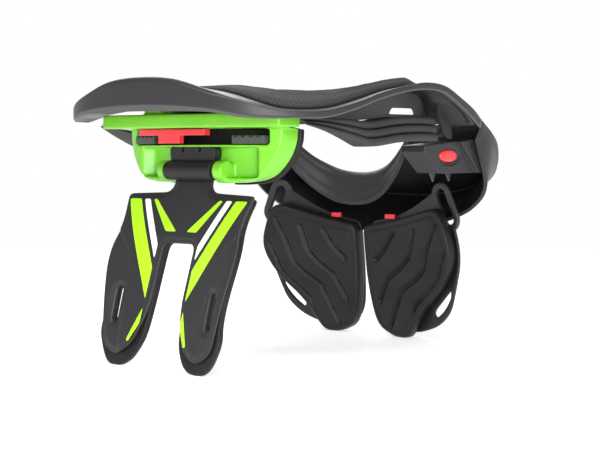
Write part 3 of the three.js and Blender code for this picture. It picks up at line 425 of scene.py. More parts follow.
def rounded_outline(rows, half_width, height, mirrored=False, steps=6):
    """Outline with rounded corners from rows of x and z shares and a radius in millimetres."""
    corners = [(x * half_width, z * height, radius) for x, z, radius in rows]
    if mirrored:
        corners += [(-x, z, radius) for x, z, radius in corners[::-1]]
    closed = np.array([c[:2] for c in corners])
    out = []
    for i, here in enumerate(closed):
        ends = []
        for other in (closed[i - 1], closed[(i + 1) % len(closed)]):
            way = other - here
            size = np.linalg.norm(way)
            ends.append(here + way / size * min(corners[i][2], size * 0.45))
        for t in np.linspace(0, 1, steps):
            out.append((1 - t) ** 2 * ends[0] + 2 * t * (1 - t) * here + t ** 2 * ends[1])
    return np.array(out)


def offset_path(path, distances):
    """The path moved sideways, to the left of its direction, with mitred corners."""
    along = np.diff(path, axis=0)
    along /= np.maximum(np.linalg.norm(along, axis=1, keepdims=True), 1e-9)
    normals = np.stack([-along[:, 1], along[:, 0]], axis=1)
    before = np.concatenate([normals[:1], normals])
    after = np.concatenate([normals, normals[-1:]])
    mitre = before + after
    mitre /= np.maximum(np.linalg.norm(mitre, axis=1, keepdims=True), 1e-9)
    stretch = np.broadcast_to(distances, len(path)) / np.maximum((mitre * after).sum(axis=1), 0.5)
    return path + mitre * stretch[:, None]


def ribbon(path, outside, inside):
    """The closed outline between two offsets of one path."""
    return np.concatenate([offset_path(path, outside), offset_path(path, inside)[::-1]])


def even_points(path, count):
    """The path with evenly spaced points, and how far along it each of them lies."""
    steps = np.append(0, np.linalg.norm(np.diff(path, axis=0), axis=1)).cumsum()
    where = np.linspace(0, steps[-1], count)
    return np.column_stack([np.interp(where, steps, path[:, k]) for k in (0, 1)]), where


SIDES = ((1, "right"), (-1, "left"))


def span(side, near, far):
    """Two distances from the middle plane as x values on one side, the lower first."""
    return sorted((side * near, side * far))


# %% [markdown]
# The loft below keeps a size map: the distance along the piece and across it. A pattern such as the
# knit can then follow the piece. Both ends are closed by one flat face.

# %% Lofts
def loft(name, sections):
    sections = np.asarray(sections)
    rows, count, _ = sections.shape
    along = np.linalg.norm(np.diff(sections, axis=0), axis=2).mean(axis=1).cumsum()
    across = np.linalg.norm(np.diff(sections, axis=1), axis=2).mean(axis=0).cumsum()
    sizes = np.stack(np.meshgrid(np.append(0, across), np.append(0, along)), axis=2).reshape(-1, 2)
    index = np.arange(rows * count).reshape(rows, count)
    turned = np.roll(index, -1, axis=1)
    quads = np.stack([index[:-1], turned[:-1], turned[1:], index[1:]], axis=2).reshape(-1, 4)
    faces = [tuple(face) for face in quads.tolist()]
    faces += [tuple(index[0].tolist()[::-1]), tuple(index[-1].tolist())]
    piece = make_mesh(name, sections.reshape(-1, 3), faces, sizes)
    recalculate(piece)
    return piece


def stand_sections(outer, inner, flats):
    """Stands each flat section (inward distance, height) on the line from its outer to inner point."""
    inward = inner - outer
    inward /= np.linalg.norm(inward, axis=1, keepdims=True)
    out = []
    for start, way, flat in zip(outer, inward, flats):
        out.append(np.column_stack([start + way * flat[:, :1], flat[:, 1]]))
    return np.array(out)


def standing_loft(name, outer, inner, flat):
    """A loft of upright sections between two rows of points; flat(i) is section i's outline."""
    return loft(name, stand_sections(outer, inner, [flat(i) for i in range(len(outer))]))


# %% [markdown]
# ## The ring's rear half
#
# On the real brace one big moulding makes the rear half: a table at the back that the helmet's rim
# can rest on, and two arms that run forward over the shoulders. Its cross-section is a band on the
# outside, a top and a wall round the neck. Modelling it by pulling faces would be slow to correct;
# a loft through a table of sections follows the brace's curves and stays easy to change. Each row of
# the table is one section: outX and outY place its outer edge, low and edge the band's heights, inX
# and inY the neck side, crest the height there, wall where the neck wall ends, rim the share of the
# top that the pad leaves bare, and dome how far the top bulges. All are shares of the brace's
# width, reach or height.

# %% Stations of the rear ring
REAR = table("outX outY low edge inX inY crest wall rim dome", [
    [0.000, -1.000, 0.883, 0.986, 0.000, -0.546, 0.918, 0.840, 0.60, 0.012],
    [0.232, -0.995, 0.881, 0.976, 0.196, -0.541, 0.918, 0.840, 0.55, 0.012],
    [0.457, -0.967, 0.877, 0.937, 0.362, -0.508, 0.922, 0.840, 0.40, 0.010],
    [0.609, -0.913, 0.859, 0.912, 0.464, -0.459, 0.930, 0.842, 0.24, 0.004],
    [0.725, -0.836, 0.855, 0.885, 0.551, -0.393, 0.937, 0.845, 0.16, 0.003],
    [0.812, -0.749, 0.856, 0.878, 0.609, -0.328, 0.945, 0.850, 0.16, 0.003],
    [0.877, -0.645, 0.859, 0.883, 0.652, -0.262, 0.953, 0.856, 0.22, 0.003],
    [0.935, -0.514, 0.889, 0.911, 0.688, -0.186, 0.962, 0.862, 0.38, 0.003],
    [0.964, -0.383, 0.925, 0.946, 0.710, -0.109, 0.968, 0.868, 0.46, 0.003],
    [0.993, -0.246, 0.951, 0.972, 0.722, -0.033, 0.971, 0.8705, 0.50, 0.003],
    [1.000, -0.109, 0.963, 0.987, 0.722, 0.049, 0.972, 0.8715, 0.52, 0.003],
    [1.000, 0.030, 0.954, 0.978, 0.710, 0.135, 0.965, 0.872, 0.60, 0.003],
    [0.989, 0.172, 0.913, 0.941, 0.681, 0.209, 0.930, 0.866, 0.60, 0.003],
    [0.975, 0.300, 0.868, 0.903, 0.638, 0.270, 0.897, 0.832, 0.60, 0.003],
    [0.951, 0.408, 0.832, 0.864, 0.594, 0.319, 0.860, 0.810, 0.60, 0.003],
])
RING_STEPS = 6


def ends_of(row_set):
    outer = np.column_stack([row_set["outX"] * HALF_WIDTH, length_y(row_set["outY"])])
    inner = np.column_stack([row_set["inX"] * HALF_WIDTH, length_y(row_set["inY"])])
    return outer, inner, np.linalg.norm(inner - outer, axis=1)


def top_point(ring, i, width, share):
    """A point on the top of rear section i, at a share of its width."""
    edge, crest, dome = (ring[name][i] * BRACE_HEIGHT for name in ("edge", "crest", "dome"))
    return np.array([width * share, edge + (crest - edge) * share + dome * math.sin(math.pi * share)])


rear = whole_ring(REAR, RING_STEPS)
rear_outer, rear_inner, rear_width = ends_of(rear)
print("rear ring", len(rear_width), "sections")

# %% [markdown]
# The band's lower edge turns in a little and has a crease above it, and a shallow groove runs along
# the top beside the edge, as on most moulded frames of this kind. A low lip runs along the rim.
# The two windows in the arms are cut out afterwards.

# %% Rear shell
BAND_CREASE = 0.24
GROOVE_SHARE = 0.3
GROOVE_DEPTH = 1.5
GROOVE_WIDTH = 1.5
LIP_RISE = 3.3
ARM_LIP = 0.4
ARM_DOME = 0.003
TABLE_DOME = 0.012


def rear_flat(i):
    width = rear_width[i]
    table_share = (rear["dome"][i] - ARM_DOME) / (TABLE_DOME - ARM_DOME)
    lip = ARM_LIP + LIP_RISE * float(np.clip(table_share, 0, 1))
    low, edge, wall = (rear[name][i] * BRACE_HEIGHT for name in ("low", "edge", "wall"))
    rim = rear["rim"][i]
    groove = top_point(rear, i, width, rim * GROOVE_SHARE)
    corners = [
        (1.4, low), (0, low + (edge - low) * BAND_CREASE), (0, edge), (lip, edge + lip * 0.9),
        groove - (GROOVE_WIDTH, 0), groove - (0, GROOVE_DEPTH), groove + (GROOVE_WIDTH, 0),
        top_point(rear, i, width, rim), top_point(rear, i, width, (1 + rim) / 2),
        top_point(rear, i, width, 1), (width, wall),
    ]
    path = round_path(corners, [0, 1.0, 1.2, 2.4, 0.6, 0.6, 0.6, 0, 4, 3, 0], 4)
    return ribbon(path, 0.0, -SHELL_WALL)


rear_shell = standing_loft("rear_shell", rear_outer, rear_inner, rear_flat)


def box_body(name, low, high):
    """A closed box between two drawing-frame corners."""
    corners = [(x, y, z) for x in (low[0], high[0]) for y in (low[1], high[1]) for z in (low[2], high[2])]
    faces = [(0, 1, 3, 2), (4, 6, 7, 5), (0, 4, 5, 1), (2, 3, 7, 6), (0, 2, 6, 4), (1, 5, 7, 3)]
    return make_mesh(name, corners, faces)


def prism(name, outline, low, high, axis=0):
    """A closed body: an outline in the two other axes, pushed along one axis."""
    outline = np.asarray(outline, float)
    ends = []
    for value in (low, high):
        ends.append(np.insert(outline, axis, value, axis=1))
    count = len(outline)
    faces = [tuple(range(count))[::-1], tuple(range(count, 2 * count))]
    faces += [(i, (i + 1) % count, count + (i + 1) % count, count + i) for i in range(count)]
    piece = make_mesh(name, np.concatenate(ends), faces)
    recalculate(piece)
    return piece


WINDOW_LENGTH = 36.0
WINDOW_HEIGHT = 4.8
WINDOW_SLANT = 0.7
WINDOW_CORNER = 2.2
WINDOW_Y = 1.0
WINDOW_Z = 0.893 * BRACE_HEIGHT


def window_tool(side):
    half = WINDOW_LENGTH / 2
    slant = WINDOW_HEIGHT * WINDOW_SLANT
    corners = [
        (WINDOW_Y - half, WINDOW_Z - WINDOW_HEIGHT / 2), (WINDOW_Y + half, WINDOW_Z - WINDOW_HEIGHT / 2),
        (WINDOW_Y + half - slant, WINDOW_Z + WINDOW_HEIGHT / 2),
        (WINDOW_Y - half + slant, WINDOW_Z + WINDOW_HEIGHT / 2),
    ]
    outline = rounded_outline([(y, z, WINDOW_CORNER) for y, z in corners], 1.0, 1.0)
    return prism("window_tool", outline, *span(side, HALF_WIDTH * 0.6, HALF_WIDTH * 0.9))


cut_out(rear_shell, window_tool(1), window_tool(-1))
bevel(rear_shell, 0.7)
dress(rear_shell, nylon_frame, "chassis_plastic", "rear", "rear_chassis", crease=50)

# %% [markdown]
# ## The neck padding
#
# The padding lies on the inner half of the top, rolls over the crest and lines the neck wall. It is
# foam under spacer mesh, with two stitched-in ribs along it.
# The loft takes the same sections as the shell, so the pad seats on it all along, and its thickness
# comes from a curve across it.

# %% Neck pad
PAD_THICKNESS = 5.5
PAD_GAP = 0.3
PAD_BOTTOM = np.array([0.85, 0.85, 0.85, 0.855, 0.86, 0.865, 0.87, 0.88, 0.9, 0.928, 0.932])
PAD_ROWS = len(PAD_BOTTOM)
PAD_ACROSS = 30
PAD_CROWN = ([0, 0.06, 0.25, 0.6, 0.94, 1], [0.35, 0.8, 1.15, 1.0, 0.85, 0.5])
RIB_SHARES = (0.38, 0.68)
RIB_HEIGHT = 1.3
RIB_WIDTH = 1.8
pad_columns = {name: values[:PAD_ROWS] for name, values in REAR.items()}
pad_columns["bottom"] = PAD_BOTTOM
pad = whole_ring(pad_columns, RING_STEPS)
pad_outer, pad_inner, pad_width = ends_of(pad)


def pad_flat(i):
    width = pad_width[i]
    rim = pad["rim"][i]
    corners = [top_point(pad, i, width, share) for share in (rim, (1 + rim) / 2, 1)]
    corners.append((width, pad["bottom"][i] * BRACE_HEIGHT))
    path, where = even_points(round_path(corners, [0, 6, 4, 0], 5), PAD_ACROSS)
    crest_at = where[-1] - (corners[2] - corners[3])[1]
    soft = PAD_THICKNESS * np.interp(where / where[-1], *PAD_CROWN)
    for rib in RIB_SHARES:
        soft += RIB_HEIGHT * np.exp(-((where - rib * crest_at) / RIB_WIDTH) ** 2)
    end = min(i, len(pad_width) - 1 - i) / RING_STEPS
    soft *= math.sqrt(min(1.0, 0.25 + end * 1.2))
    return ribbon(path, PAD_GAP, np.maximum(soft, 1.0))


neck_pad = standing_loft("neck_padding", pad_outer, pad_inner, pad_flat)
bevel(neck_pad, 0.8, 3, 50)
dress(neck_pad, mesh_knit, "neck_fabric", "rear", "neck_pad", crease=60)

# %% [markdown]
# ## Shoulder pads
#
# Under each arm hang three layers of foam that come to a point at the back. Layers are peeled off
# to fit the rider, so each one is a piece of its own. A loft along the arm gives each layer a
# rounded outer edge, thins it towards the rear tip and cuts its front end square. Foam swells a
# little, so the layers touch, and only a dark line shows between them.

# %% Shoulder pad layers
FOAM_LAYER = 6.3
FOAM_RISE = 1.0
FOAM_TIP = 0.22
FOAM_FRONT_STEP = 0.045
SHOULDER_DEPTH = 26.0
SHOULDER_STEP = 2.0
SHOULDER = table("x y top spread", [
    [0.735, -0.665, 0.852, 0.24],
    [0.790, -0.585, 0.858, 0.60],
    [0.840, -0.470, 0.853, 0.95],
    [0.868, -0.350, 0.849, 1.00],
    [0.885, -0.210, 0.862, 1.00],
    [0.890, -0.080, 0.868, 1.00],
    [0.888, 0.060, 0.867, 0.92],
    [0.880, 0.105, 0.864, 0.72],
])
SHOULDER_STEPS = 8


def shoulder_sections(layer, side):
    rows = {name: curve_through(values, SHOULDER_STEPS) for name, values in SHOULDER.items()}
    count = int(len(rows["x"]) * (1 - layer * FOAM_FRONT_STEP))
    outer = np.column_stack([rows["x"] * HALF_WIDTH + layer * SHOULDER_STEP, length_y(rows["y"])])
    out = []
    for i, start in enumerate(outer[:count]):
        inward = -start / np.linalg.norm(start)
        depth = (SHOULDER_DEPTH + layer * SHOULDER_STEP) * rows["spread"][i]
        thick = FOAM_LAYER * np.interp(i / len(outer), [0, 0.38], [FOAM_TIP, 1])
        top = rows["top"][i] * BRACE_HEIGHT + FOAM_RISE - layer * thick
        low = top - thick + PAD_GAP * 0.4
        corners = [(depth, top), (depth * 0.5, top), (1.2, top - 0.2), (0, (top + low) / 2),
                   (1.2, low + 0.2), (depth * 0.5, low), (depth, low)]
        flat = round_path(corners, [0, 1, 1.2, 2.5, 1.2, 1, 0], 4)
        place = start + inward * flat[:, :1]
        out.append(np.column_stack([place[:, 0] * side, place[:, 1], flat[:, 1]]))
    return out


for layer, layer_name in enumerate(("upper", "middle", "lower")):
    for side, side_name in SIDES:
        node = f"shoulder_pad_{layer_name}_{side_name}"
        shoulder = loft(f"shoulder_foam_{layer_name}_{side_name}", shoulder_sections(layer, side))
        bevel(shoulder, 1.0, 3, 40)
        dress(shoulder, eva_grey, "shoulder_foam", "rear", node, crease=60)

# %% [markdown]
# ## The ring's front half
#
# The front half swings open to put the brace on. It carries on the ring's band and top, and a bib
# turns under it towards the chest. It is lofted in the same way, from the seam to the middle.

# %% Front shell
FRONT = table("outX outY low edge inX inY crest bibIn bib", [
    [0.951, 0.421, 0.832, 0.864, 0.594, 0.332, 0.842, 0.030, 0.783],
    [0.928, 0.540, 0.790, 0.820, 0.522, 0.366, 0.811, 0.030, 0.620],
    [0.884, 0.650, 0.750, 0.778, 0.464, 0.393, 0.792, 0.138, 0.530],
    [0.804, 0.761, 0.690, 0.717, 0.418, 0.414, 0.764, 0.290, 0.478],
    [0.688, 0.865, 0.637, 0.665, 0.329, 0.444, 0.714, 0.440, 0.452],
    [0.478, 0.957, 0.585, 0.613, 0.240, 0.472, 0.680, 0.485, 0.436],
    [0.240, 0.994, 0.556, 0.585, 0.134, 0.487, 0.655, 0.490, 0.427],
    [0.000, 1.000, 0.550, 0.578, 0.000, 0.497, 0.646, 0.490, 0.425],
])
front = whole_ring(FRONT, RING_STEPS, middle_first=False)
front_outer, front_inner, front_width = ends_of(front)


def front_flat(i):
    width = front_width[i]
    low, edge, crest, bib = (front[name][i] * BRACE_HEIGHT for name in ("low", "edge", "crest", "bib"))
    corners = [(front["bibIn"][i] * HALF_WIDTH, bib), (0, low), (0, edge), (width, crest)]
    path = round_path(corners, [0, 5, 2.4, 0], 6)
    return ribbon(path, 0.0, -SHELL_WALL)


front_shell = standing_loft("front_shell", front_outer, front_inner, front_flat)
bevel(front_shell, 0.7)
dress(front_shell, nylon_frame, "chassis_plastic", "front", "front_chassis", crease=50)

# %% [markdown]
# ## The collar
#
# A soft lip follows the front half's inner edge and hangs down towards the chest. It is pressed
# foam with two shallow steps along it, which show as bands of light.

# %% Collar
COLLAR_THICKNESS = 4.5
COLLAR_IN = 0.058
COLLAR_DROP = 0.115
COLLAR_ROLL = 0.16
COLLAR_ACROSS = 26
COLLAR_CROWN = ([0, 0.1, 0.45, 0.49, 0.75, 0.79, 0.97, 1],
                [0.4, 0.8, 1.05, 0.86, 0.95, 0.78, 0.74, 0.4])
collar_columns = {name: values[2:] for name, values in FRONT.items()}
collar = whole_ring(collar_columns, RING_STEPS, middle_first=False)
collar_outer, collar_inner, collar_width = ends_of(collar)


def collar_flat(i):
    width = collar_width[i]
    edge, crest = (collar[name][i] * BRACE_HEIGHT for name in ("edge", "crest"))
    corners = [
        (width * (1 - COLLAR_ROLL), crest + (edge - crest) * COLLAR_ROLL), (width, crest),
        (width + COLLAR_IN * HALF_WIDTH * 0.4, crest - COLLAR_DROP * BRACE_HEIGHT * 0.5),
        (width + COLLAR_IN * HALF_WIDTH, crest - COLLAR_DROP * BRACE_HEIGHT),
    ]
    path, where = even_points(round_path(corners, [0, 3, 5, 0], 5), COLLAR_ACROSS)
    return ribbon(path, PAD_GAP, COLLAR_THICKNESS * np.interp(where / where[-1], *COLLAR_CROWN))


collar_pad = standing_loft("collar_lip", collar_outer, collar_inner, collar_flat)
bevel(collar_pad, 0.8, 3, 50)
dress(collar_pad, eva_smooth, "eva_foam", "front", "collar_pad", crease=60)

# %% [markdown]
# ## Panels
#
# The strut and the chest pads are plates with a shaped outline. A panel fills its outline with a
# fine net, which Delaunay triangulation makes from the outline, two rows of points inside it and a
# grid. Each point then knows how far it lies from the edge, and the thickness falls off there in a
# quarter circle. Grooves and ribs change the height by the distance to a line. At last a function
# bends the panel to its place, as pressing it over a form would.

# %% Panel builder
def even_loop(points, step):
    """A closed outline cut into even steps."""
    closed = np.concatenate([points, points[:1]])
    sizes = np.append(0, np.linalg.norm(np.diff(closed, axis=0), axis=1)).cumsum()
    count = max(int(round(sizes[-1] / step)), 8)
    where = np.linspace(0, sizes[-1], count, endpoint=False)
    return np.column_stack([np.interp(where, sizes, closed[:, k]) for k in (0, 1)])


def distance_to(points, line, closed=False):
    """Distance of each point to a polyline."""
    line = np.asarray(line, float)
    if closed:
        line = np.concatenate([line, line[:1]])
    best = np.full(len(points), np.inf)
    for a, b in zip(line[:-1], line[1:]):
        way = b - a
        t = np.clip(((points - a) @ way) / max(way @ way, 1e-9), 0, 1)
        best = np.minimum(best, np.linalg.norm(points - a - t[:, None] * way, axis=1))
    return best


def inside(points, loop):
    """Whether each point lies inside a closed outline."""
    x, y = points[:, 0], points[:, 1]
    odd = np.zeros(len(points), bool)
    for (ax, ay), (bx, by) in zip(loop, np.roll(loop, -1, axis=0)):
        crosses = (ay > y) != (by > y)
        with np.errstate(divide="ignore", invalid="ignore"):
            where = ax + (y - ay) * (bx - ax) / (by - ay)
        odd ^= crosses & (x < where)
    return odd


def panel_net(outline, holes, step, edge_rows):
    """Points, triangles, loops and edge distances of a fine net that fills an outline."""
    loops = [even_loop(loop, step) for loop in [outline, *holes]]
    fixed = np.concatenate(loops)
    low, high = fixed.min(axis=0), fixed.max(axis=0)
    xs = np.arange(low[0] + step / 2, high[0], step)
    zs = np.arange(low[1] + step / 2, high[1], step * 0.9)
    grid = np.array([(x + (step / 2 if j % 2 else 0), z) for j, z in enumerate(zs) for x in xs])
    rows = [grid]
    for loop in loops:
        ahead = np.roll(loop, -1, axis=0) - np.roll(loop, 1, axis=0)
        ahead /= np.linalg.norm(ahead, axis=1, keepdims=True)
        for reach in edge_rows:
            for sign in (-1, 1):
                rows.append(loop + sign * reach * np.column_stack([-ahead[:, 1], ahead[:, 0]]))

    def edge_distance(points):
        return np.min([distance_to(points, loop, closed=True) for loop in loops], axis=0)

    def within(points):
        kept = inside(points, loops[0])
        for loop in loops[1:]:
            kept &= ~inside(points, loop)
        return kept

    grid_distance = edge_distance(rows[0])
    keep = within(rows[0]) & (grid_distance > max(edge_rows) + step * 0.5)
    picked = [rows[0][keep]]
    for row, reach in zip(rows[1:], [reach for _ in loops for reach in edge_rows for _ in (0, 1)]):
        picked.append(row[within(row) & (edge_distance(row) > reach * 0.9)])
    free = np.concatenate(picked)
    edges = []
    start = 0
    for loop in loops:
        edges += [(start + i, start + (i + 1) % len(loop)) for i in range(len(loop))]
        start += len(loop)
    every = np.concatenate([fixed, free])
    points, _, faces, _, _, _ = delaunay_2d_cdt([Vector(p) for p in every], edges, [], 0, 1e-4)
    points = np.array([(p[0], p[1]) for p in points])
    faces = np.array([face for face in faces if len(face) == 3])
    faces = faces[within(points[faces].mean(axis=1))]
    return points, faces, edge_distance(points)


def quarter_round(distance, radius):
    """How far a rounded edge lies below the face, at a distance from the edge."""
    short = np.clip(radius - distance, 0, radius)
    return radius - np.sqrt(np.maximum(radius ** 2 - short ** 2, 0))


def panel(name, outline, thickness, bend, holes=(), step=2.0, rear_round=1.2, front_round=1.2,
          relief=None, turn=1.0):
    """A plate in x and z. Its rear face lies where bend says, and relief pushes that face in."""
    edge_rows = sorted({round(r * f, 3) for r in (rear_round, front_round) for f in (0.25, 0.6, 1.0)})
    points, faces, distance = panel_net(outline, list(holes), step, edge_rows)
    pushed = relief(points, distance) if relief else 0.0
    x, z = points[:, 0], points[:, 1]
    base = bend(x, z)
    rear_y = base + quarter_round(distance, rear_round) + pushed
    front_y = base + thickness - quarter_round(distance, front_round)
    count = len(points)
    corners = np.concatenate([np.column_stack([x * turn, rear_y, z]),
                              np.column_stack([x * turn, front_y, z])])
    edge_use = {}
    for face in faces:
        for a, b in zip(face, np.roll(face, -1)):
            edge_use[(a, b)] = edge_use.get((a, b), 0) + 1
    border = [(a, b) for (a, b) in edge_use if (b, a) not in edge_use]
    built = [tuple(map(int, face)) for face in faces]
    built += [tuple(int(i) + count for i in face[::-1]) for face in faces]
    built += [(int(b), int(a), int(a) + count, int(b) + count) for a, b in border]
    piece = make_mesh(name, corners, built)
    recalculate(piece)
    return piece


# %% [markdown]
# ## The back strut
#
# The strut's hard shell is a fork whose legs lie beside the spine. It leans back and its sides wrap
# round the rider, so the bend is a sine across the height times the square of the distance from the
# middle. Raised creases run down both legs, and each leg has a slot for a strap. A short neck at
# the top reaches up to the hinge.

# %% Strut shell and liner
STRUT_HALF_WIDTH = 65.0
STRUT_HEIGHT = 130.0
STRUT_TOP_Y = -128.0
STRUT_LEAN = 44.0
STRUT_WRAP = 9.0
STRUT_SHELL = 3.4
STRUT_LINER = 6.0
CURVED_FIT = 0.5
STRUT_SHELL_OUTLINE = [
    (0.290, 1.085, 0), (0.290, 1.020, 3), (0.360, 0.985, 5), (0.985, 0.973, 4), (0.915, 0.800, 12),
    (1.000, 0.640, 16), (0.900, 0.300, 20), (0.850, 0.120, 9), (0.630, 0.055, 7), (0.390, 0.130, 9),
    (0.245, 0.330, 12), (0.243, 0.700, 6),
]
STRUT_LINER_OUTLINE = [
    (0.960, 0.955, 4), (0.905, 0.800, 12), (0.990, 0.635, 16), (0.905, 0.290, 14), (0.945, 0.180, 9),
    (0.840, 0.050, 9), (0.740, 0.000, 4), (0.540, 0.000, 4), (0.400, 0.040, 9), (0.270, 0.160, 9),
    (0.243, 0.345, 12), (0.236, 0.695, 6),
]


def strut_bend(x, z):
    fall = (STRUT_HEIGHT - z) / STRUT_HEIGHT
    wrap = STRUT_WRAP * np.sin(math.pi * np.clip(fall, 0, 1)) * (x / STRUT_HALF_WIDTH) ** 2
    return STRUT_TOP_Y - STRUT_LEAN * fall - wrap


def capsule(x, z, length, width, tilt=0.0, steps=10):
    """A slot outline with round ends."""
    angles = np.linspace(0, math.pi, steps)
    top = np.column_stack([np.cos(angles), np.sin(angles)]) * width / 2 + (0, (length - width) / 2)
    loop = np.concatenate([top, -top])
    turn = np.array([[math.cos(tilt), math.sin(tilt)], [-math.sin(tilt), math.cos(tilt)]])
    return loop @ turn + (x, z)


SLOT_X = 0.728 * STRUT_HALF_WIDTH
SLOT_Z = 0.343 * STRUT_HEIGHT
leg_slots = [capsule(side * SLOT_X, SLOT_Z, 26.0, 5.4) for side in (-1, 1)]
STEP_WIDTH = 1.4
SLOT_RIM = 0.8
SLOT_RIM_WIDTH = 1.6
LEG_CREASE = np.array([(0.90, 0.76), (0.70, 0.65), (0.61, 0.47), (0.58, 0.08)])
LEG_CREASE = LEG_CREASE * (STRUT_HALF_WIDTH, STRUT_HEIGHT)
RIM_WIDTH = 4.0
RIM_DEPTH = 0.8
LEG_STEP = 0.8


def strut_relief(points, distance):
    folded = np.column_stack([np.abs(points[:, 0]), points[:, 1]])
    crease = distance_to(folded, LEG_CREASE)
    outer_leg = folded[:, 0] > np.interp(folded[:, 1], LEG_CREASE[::-1, 1], LEG_CREASE[::-1, 0])
    stepped = outer_leg & (folded[:, 1] < LEG_CREASE[0, 1])
    step = np.where(stepped, LEG_STEP, 0.0) * np.clip(crease / STEP_WIDTH, 0, 1)
    slot = np.min([distance_to(points, loop, closed=True) for loop in leg_slots], axis=0)
    slot_rim = SLOT_RIM * np.exp(-(slot / SLOT_RIM_WIDTH) ** 2)
    return step + slot_rim + RIM_DEPTH * np.clip(RIM_WIDTH - distance, 0, 1)


shell_outline = rounded_outline(STRUT_SHELL_OUTLINE, STRUT_HALF_WIDTH, STRUT_HEIGHT, mirrored=True)
liner_outline = rounded_outline(STRUT_LINER_OUTLINE, STRUT_HALF_WIDTH, STRUT_HEIGHT, mirrored=True)
strut_plate = panel("strut_plate", shell_outline, STRUT_SHELL, strut_bend, leg_slots, 1.2, 1.1, 0.6,
                    strut_relief)
dress(strut_plate, nylon_frame, "chassis_plastic", "strut", "strut_shell", crease=40)
strut_foam = panel("strut_foam", liner_outline, STRUT_LINER,
                   lambda x, z: strut_bend(x, z) + STRUT_SHELL + CURVED_FIT, leg_slots, 2.2, 1.8, 2.2)
dress(strut_foam, eva_black, "eva_foam", "strut", "strut_liner", crease=60)

# %% [markdown]
# The stripes are printed vinyl. Each is a very thin panel that follows the shell and stands a
# little proud of it, so its edge catches light as a real film's does. They are plain bands that
# run from the top corners to the notch, mirrored left and right.

# %% Vinyl stripes
VINYL = 0.3
VINYL_PROUD = 0.16
STRIPES = [
    ("lime_wide", vinyl_lime, "lime_plastic",
     [(0.925, 0.945), (0.745, 0.945), (0.315, 0.560), (0.315, 0.385)]),
    ("white", vinyl_white, "grey_plastic",
     [(0.690, 0.945), (0.600, 0.945), (0.315, 0.690), (0.315, 0.610)]),
    ("lime_thin", vinyl_lime, "lime_plastic",
     [(0.545, 0.945), (0.490, 0.945), (0.080, 0.765), (0.240, 0.765)]),
    ("lime_leg", vinyl_lime, "lime_plastic",
     [(0.318, 0.335), (0.318, 0.250), (0.440, 0.140), (0.470, 0.150)]),
]


def vinyl_bend(x, z):
    return strut_bend(x, z) - VINYL_PROUD


for side, side_name in SIDES:
    for label, vinyl, vinyl_slot, corners in STRIPES:
        outline = rounded_outline([(x, z, 0.8) for x, z in corners], STRUT_HALF_WIDTH, STRUT_HEIGHT)
        stripe = panel(f"stripe_{label}_{side_name}", outline, VINYL, vinyl_bend, (), 2.0, 0.05, 0.05,
                       turn=side)
        dress(stripe, vinyl, vinyl_slot, "strut")

# %% [markdown]
# The strut's plate runs up into the barrel of the hinge bracket, and turns about the pin in it. The
# axis of that pin, and the round outline below, serve the carrier, the bracket and the pins.

# %% Hinge axis and round outlines
HINGE_Y = -127.1
HINGE_Z = 144.5
print("hinge axis at", HINGE_Y, HINGE_Z)


def round_outline(radius, y, z, steps=40):
    angles = np.linspace(0, 2 * math.pi, steps, endpoint=False)
    return np.column_stack([y + radius * np.cos(angles), z + radius * np.sin(angles)])


# %% [markdown]
# ## The chest pads
#
# Two pads of pressed foam lie on hard plates. The grooves that let them flex are pressed in, so the
# panel's relief cuts a smooth furrow along each line. Each plate ends in a loop for the chest strap
# at its upper outer corner, and has an opening to grip it by.

# %% Chest pads and plates
CHEST_HALF_WIDTH = 104.0
CHEST_HEIGHT = 116.0
CHEST_FLOOR_Y = 90.5
CHEST_LEAN = 0.13
CHEST_WRAP = 14.0
CHEST_PAD = 11.0
CHEST_PLATE = 3.6
CHEST_PAD_OUTLINE = [
    (0.810, 0.972, 8), (0.890, 0.890, 12), (0.985, 0.640, 22), (0.860, 0.420, 20), (0.610, 0.230, 16),
    (0.480, 0.052, 12), (0.420, 0.000, 5), (0.290, 0.000, 5), (0.110, 0.075, 16), (0.040, 0.400, 20),
    (0.040, 0.820, 7), (0.380, 0.872, 20),
]
CHEST_PLATE_OUTLINE = [
    (0.820, 1.120, 9), (0.930, 0.900, 14), (1.000, 0.620, 20), (0.900, 0.350, 8), (0.840, 0.210, 12),
    (0.690, 0.095, 12), (0.450, 0.030, 10), (0.240, 0.050, 10), (0.085, 0.160, 16), (0.055, 0.450, 20),
    (0.055, 0.850, 6), (0.390, 0.905, 24),
]
GRIP_OPENING = [
    (0.870, 0.385, 3), (0.660, 0.205, 4), (0.680, 0.160, 3), (0.770, 0.215, 8), (0.860, 0.320, 4),
]
CHEST_GROOVES = [
    [(0.96, 0.77), (0.86, 0.58), (0.80, 0.44), (0.67, 0.34), (0.55, 0.26), (0.49, 0.12)],
    [(0.82, 0.86), (0.71, 0.65), (0.67, 0.52), (0.58, 0.45), (0.42, 0.36), (0.35, 0.23), (0.27, 0.08)],
    [(0.58, 0.80), (0.52, 0.61), (0.43, 0.53), (0.28, 0.44), (0.17, 0.26)],
    [(0.36, 0.78), (0.26, 0.65), (0.16, 0.57)],
]
GROOVE = 3.4
GROOVE_HALF = 1.8
BORDER = 5.0
BORDER_GROOVE = 1.0
BORDER_WIDTH = 1.2
BORDER_FADE = 2.0
CROWN = 1.6
CROWN_REACH = 22.0


def chest_bend(x, z):
    return CHEST_FLOOR_Y - CHEST_LEAN * z - CHEST_WRAP * (x / CHEST_HALF_WIDTH) ** 2


